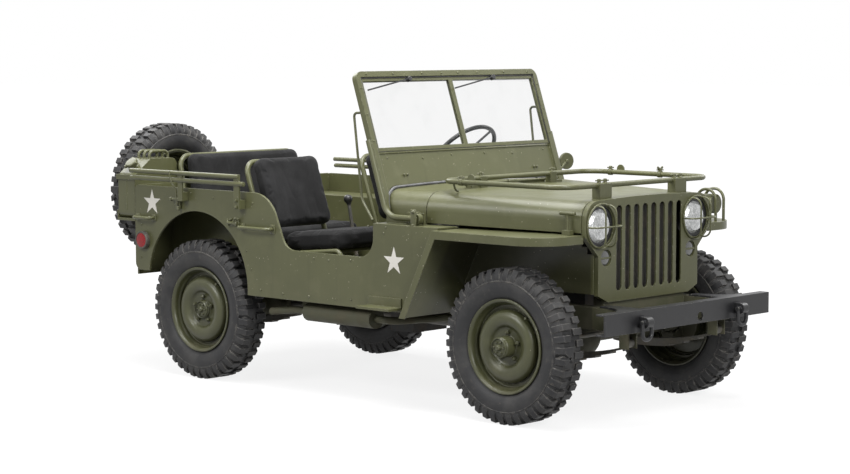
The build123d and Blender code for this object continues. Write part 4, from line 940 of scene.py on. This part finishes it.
# %% Lamp rims, marker glass and the mirror
rim_outline = [(0.0412, 0.0), (0.0455, 0.0), (0.0462, 0.010), (0.0462, 0.0205), (0.0440, 0.0240),
               (0.0385, 0.0245), (0.0365, 0.0226), (0.0412, 0.0221), (0.0412, 0.0)]
form = bmesh.new()
dome = bmesh.new()
for side in (-1, 1):
    lamp = facing((-1.315, side * skin, 0.682), (0, side, 0))
    turned(form, rim_outline, lamp, 32)
    turned(dome, [(0.0375, 0.0222), (0.030, 0.0236), (0.016, 0.0250), (0.0, 0.0254)], lamp, 32)
    lamp = facing((tail_x, side * 0.610, 0.640), (-1, 0, 0))
    turned(form, [(r + 0.001, h + (0.004 if h > 0.015 else 0)) for r, h in rim_outline], lamp, 32)
    turned(dome, [(0.0385, 0.0262), (0.030, 0.0276), (0.016, 0.0288), (0.0, 0.0292)], lamp, 32)
settle("lamp_rims", form, dark_steel, "chassis")
settle("red_domes", dome, red_lens, "chassis")

form = bmesh.new()
for side in (-1, 1):
    turned(form, [(0.0345, 0.0), (0.033, 0.0012), (0.024, 0.0030), (0.012, 0.0040), (0.0, 0.0043)],
           facing((1.3971, side * 0.315, 0.740), (1, 0, 0)), 28)
settle("marker_glass", form, smoked_glass, "chassis")

form = bmesh.new()
mirror_way = Vector((-1, 0.25, 0)).normalized()
mirror_dish = Vector((0.322, 0.728, 1.092))
mirror_spot = facing(mirror_dish + mirror_way * 0.012, mirror_way)
turned(form, [(0.0, 0.0004), (0.038, 0.0004), (0.0385, 0.0012), (0.0, 0.0012)], mirror_spot, 32)
settle("mirror_face", form, mirror_glass, "windshield")
form = bmesh.new()
turned(form, [(0.0385, 0.0), (0.0425, -0.004), (0.0428, 0.0), (0.0420, 0.0022),
              (0.0392, 0.0024), (0.0385, 0.0)], mirror_spot, 32)
turned(form, [(0.0, 0.0), (0.009, 0.0), (0.0085, 0.006), (0.0, 0.007)],
       facing(mirror_dish, -mirror_way), 16)
settle("mirror_rim", form, olive, "windshield")

# %% [markdown]
# ## Knobs, dials and the can's fittings
# Every lever ends in a black ball. The dash carries a plain cluster of blank dials. The fuel
# can has a filler with a ribbed cap on its sloping shoulder and a welded seam round the middle.

# %% Knobs, dials and the can's fittings
form = bmesh.new()
ball = [(0.0, 0.0232), (0.009, 0.0214), (0.0165, 0.0162), (0.0215, 0.0085), (0.0232, 0.0), (0.0212, -0.0095),
        (0.0158, -0.0170), (0.0112, -0.0235), (0.0112, -0.0300), (0.0, -0.0300)]
levers = (((0.165, 0, 0.542), (0.065, 0.020, 0.890)),
          ((0.165, -0.075, 0.542), (0.0908, -0.095, 0.760)),
          ((0.165, -0.125, 0.542), (0.0908, -0.150, 0.740)),
          ((-0.436, -0.020, 0.542), (-0.512, -0.020, 0.896)))
for foot, knob in levers:
    turned(form, ball, facing(knob, Vector(knob) - Vector(foot)), 24)
settle("lever_knobs", form, black_plastic, "chassis")

form = bmesh.new()
glass = bmesh.new()
rearward, dash_x = (-1, 0, 0), 0.350
pull_knob = [(0.0, 0.024), (0.007, 0.023), (0.009, 0.018), (0.004, 0.015), (0.004, 0.003),
             (0.011, 0.002), (0.011, 0.0)]
for y, z, r in ((0.0, 0.950, 0.050), (-0.105, 0.985, 0.027), (-0.105, 0.915, 0.027), (0.105, 0.985, 0.027),
                (0.105, 0.915, 0.027)):
    spot = facing((dash_x, y, z), rearward)
    turned(form, [(r, 0.0), (r + 0.005, 0.0), (r + 0.005, 0.006), (r, 0.009), (r - 0.003, 0.004)], spot, 32)
    turned(glass, [(r - 0.001, 0.0005), (r - 0.001, 0.004), (r * 0.5, 0.0052), (0.0, 0.0055)], spot, 28)
for y, z in ((0.190, 0.930), (0.235, 0.930), (0.280, 0.930), (-0.190, 0.930), (-0.235, 0.930)):
    turned(form, pull_knob, facing((dash_x, y, z), rearward), 18)
settle("dash_rims", form, black_plastic, "chassis")
settle("dash_dials", glass, smoked_glass, "chassis")

form = bmesh.new()
can_x = -1.453
filler = facing((can_x, -0.650, 1.0505), (0, -0.614, 0.789))
turned(form, [(0.031, -0.004), (0.031, 0.006), (0.026, 0.009), (0.026, 0.020), (0.033, 0.022), (0.034, 0.034),
              (0.030, 0.038), (0.0, 0.039)], filler, 28)
for i in range(3):
    turn = Matrix.Rotation(math.radians(120 * i), 4, "Z")
    slab(form, (0.016, 0.012, 0.016), filler @ turn @ at(0.035, 0, 0.028), 0.003)
can_seam = [(-0.7015, 0.83), (-0.7015, 0.985), (-0.694, 1.012), (-0.606, 1.081), (-0.580, 1.0935),
            (-0.450, 1.0935), (-0.426, 1.082), (-0.4148, 1.055), (-0.4148, 0.83)]
hose(form, [(can_x, y, z) for y, z in can_seam], 0.0032)
slab(form, (0.010, 0.042, 0.034), at(-1.5275, -0.560, 1.000), 0.003)
rod(form, (-1.532, -0.578, 0.984), (-1.532, -0.542, 1.016), 0.0036, 8)
settle("can_fittings", form, olive, "chassis")

# %% [markdown]
# ## Floor and light
# The floor and the world are white to the camera, to glossy and to see-through rays, with the
# floor a little greyer near the car. Both are plain grey to the light that bounces, so the
# shade under the car stays deep. A broad soft box hangs overhead, two stand in front and at
# the side, and two weak ones light the far sides.

# %% Floor and light
floor_form = bmesh.new()
bmesh.ops.create_grid(floor_form, x_segments=1, y_segments=1, size=60.0)
floor_mesh = bpy.data.meshes.new("studio_floor")
floor_form.to_mesh(floor_mesh)
floor_form.free()
studio_floor = placed("studio_floor", floor_mesh)

paper = Finish("studio_paper")
seen = paper.node("ShaderNodeLightPath", output="Is Camera Ray")
seen = seen + paper.node("ShaderNodeLightPath", output="Is Glossy Ray")
seen = seen + paper.node("ShaderNodeLightPath", output="Is Transmission Ray")
paper.set(Base_Color=colour(0.15, 0.15, 0.15), Roughness=1.0, Specular_IOR_Level=0.0)
reach = paper.node("ShaderNodeVectorMath", {"operation": "LENGTH"}, {0: paper.place}, "Value")
whiteness = paper.mix(reach.step(2.4, 7.0), colour(0.84, 0.84, 0.84), colour(1, 1, 1))
pale = paper.node("ShaderNodeEmission", None, {"Color": whiteness, "Strength": 1.0})
dark_face = paper.node("ShaderNodeEmission", None, {"Color": colour(0, 0, 0), "Strength": 0.0})
lift = paper.node("ShaderNodeMixShader", None, {0: seen, 1: dark_face, 2: pale})
paper_sum = paper.node("ShaderNodeAddShader", None, {0: lift, 1: Signal(paper, paper.shader.outputs[0])})
paper.feed(paper.tree.nodes["Material Output"].inputs["Surface"], paper_sum)
floor_mesh.materials.append(paper.material)

world = bpy.data.worlds.new("studio")
bpy.context.scene.world = world
world.use_nodes = True
sky = world.node_tree
path = sky.nodes.new("ShaderNodeLightPath")
total = sky.nodes.new("ShaderNodeMath")
total.operation = "ADD"
sky.links.new(path.outputs["Is Camera Ray"], total.inputs[0])
sky.links.new(path.outputs["Is Transmission Ray"], total.inputs[1])
both = sky.nodes.new("ShaderNodeMath")
both.operation = "ADD"
both.use_clamp = True
sky.links.new(total.outputs[0], both.inputs[0])
sky.links.new(path.outputs["Is Glossy Ray"], both.inputs[1])
strength = sky.nodes.new("ShaderNodeMapRange")
strength.inputs["To Min"].default_value = 0.18
strength.inputs["To Max"].default_value = 1.0
sky.links.new(both.outputs[0], strength.inputs["Value"])
backdrop = sky.nodes["Background"]
backdrop.inputs["Color"].default_value = colour(1, 1, 1)
sky.links.new(strength.outputs[0], backdrop.inputs["Strength"])


def soft_box(name, place, aim, width, height, power):
    lamp = bpy.data.lights.new(name, "AREA")
    lamp.shape = "RECTANGLE"
    lamp.size, lamp.size_y = width, height
    lamp.energy = power
    holder = placed(name, lamp)
    holder.location = place
    holder.rotation_euler = (Vector(aim) - Vector(place)).to_track_quat("-Z", "Y").to_euler()


soft_box("top_box", (0.4, -0.6, 5.2), (0.1, 0, 0.6), 4.4, 3.4, 560)
soft_box("front_box", (6.5, -2.5, 3.6), (0.4, 0, 0.8), 2.4, 2.2, 330)
soft_box("side_box", (-1.0, -6.2, 4.4), (-0.2, 0, 0.7), 3.2, 2.0, 270)
soft_box("back_box", (-6.2, 1.2, 4.4), (-0.3, 0, 0.7), 3.0, 2.4, 150)
soft_box("left_box", (1.2, 6.8, 4.4), (0.1, 0, 0.7), 3.0, 2.4, 150)
bpy.context.scene.view_settings.view_transform = "Standard"
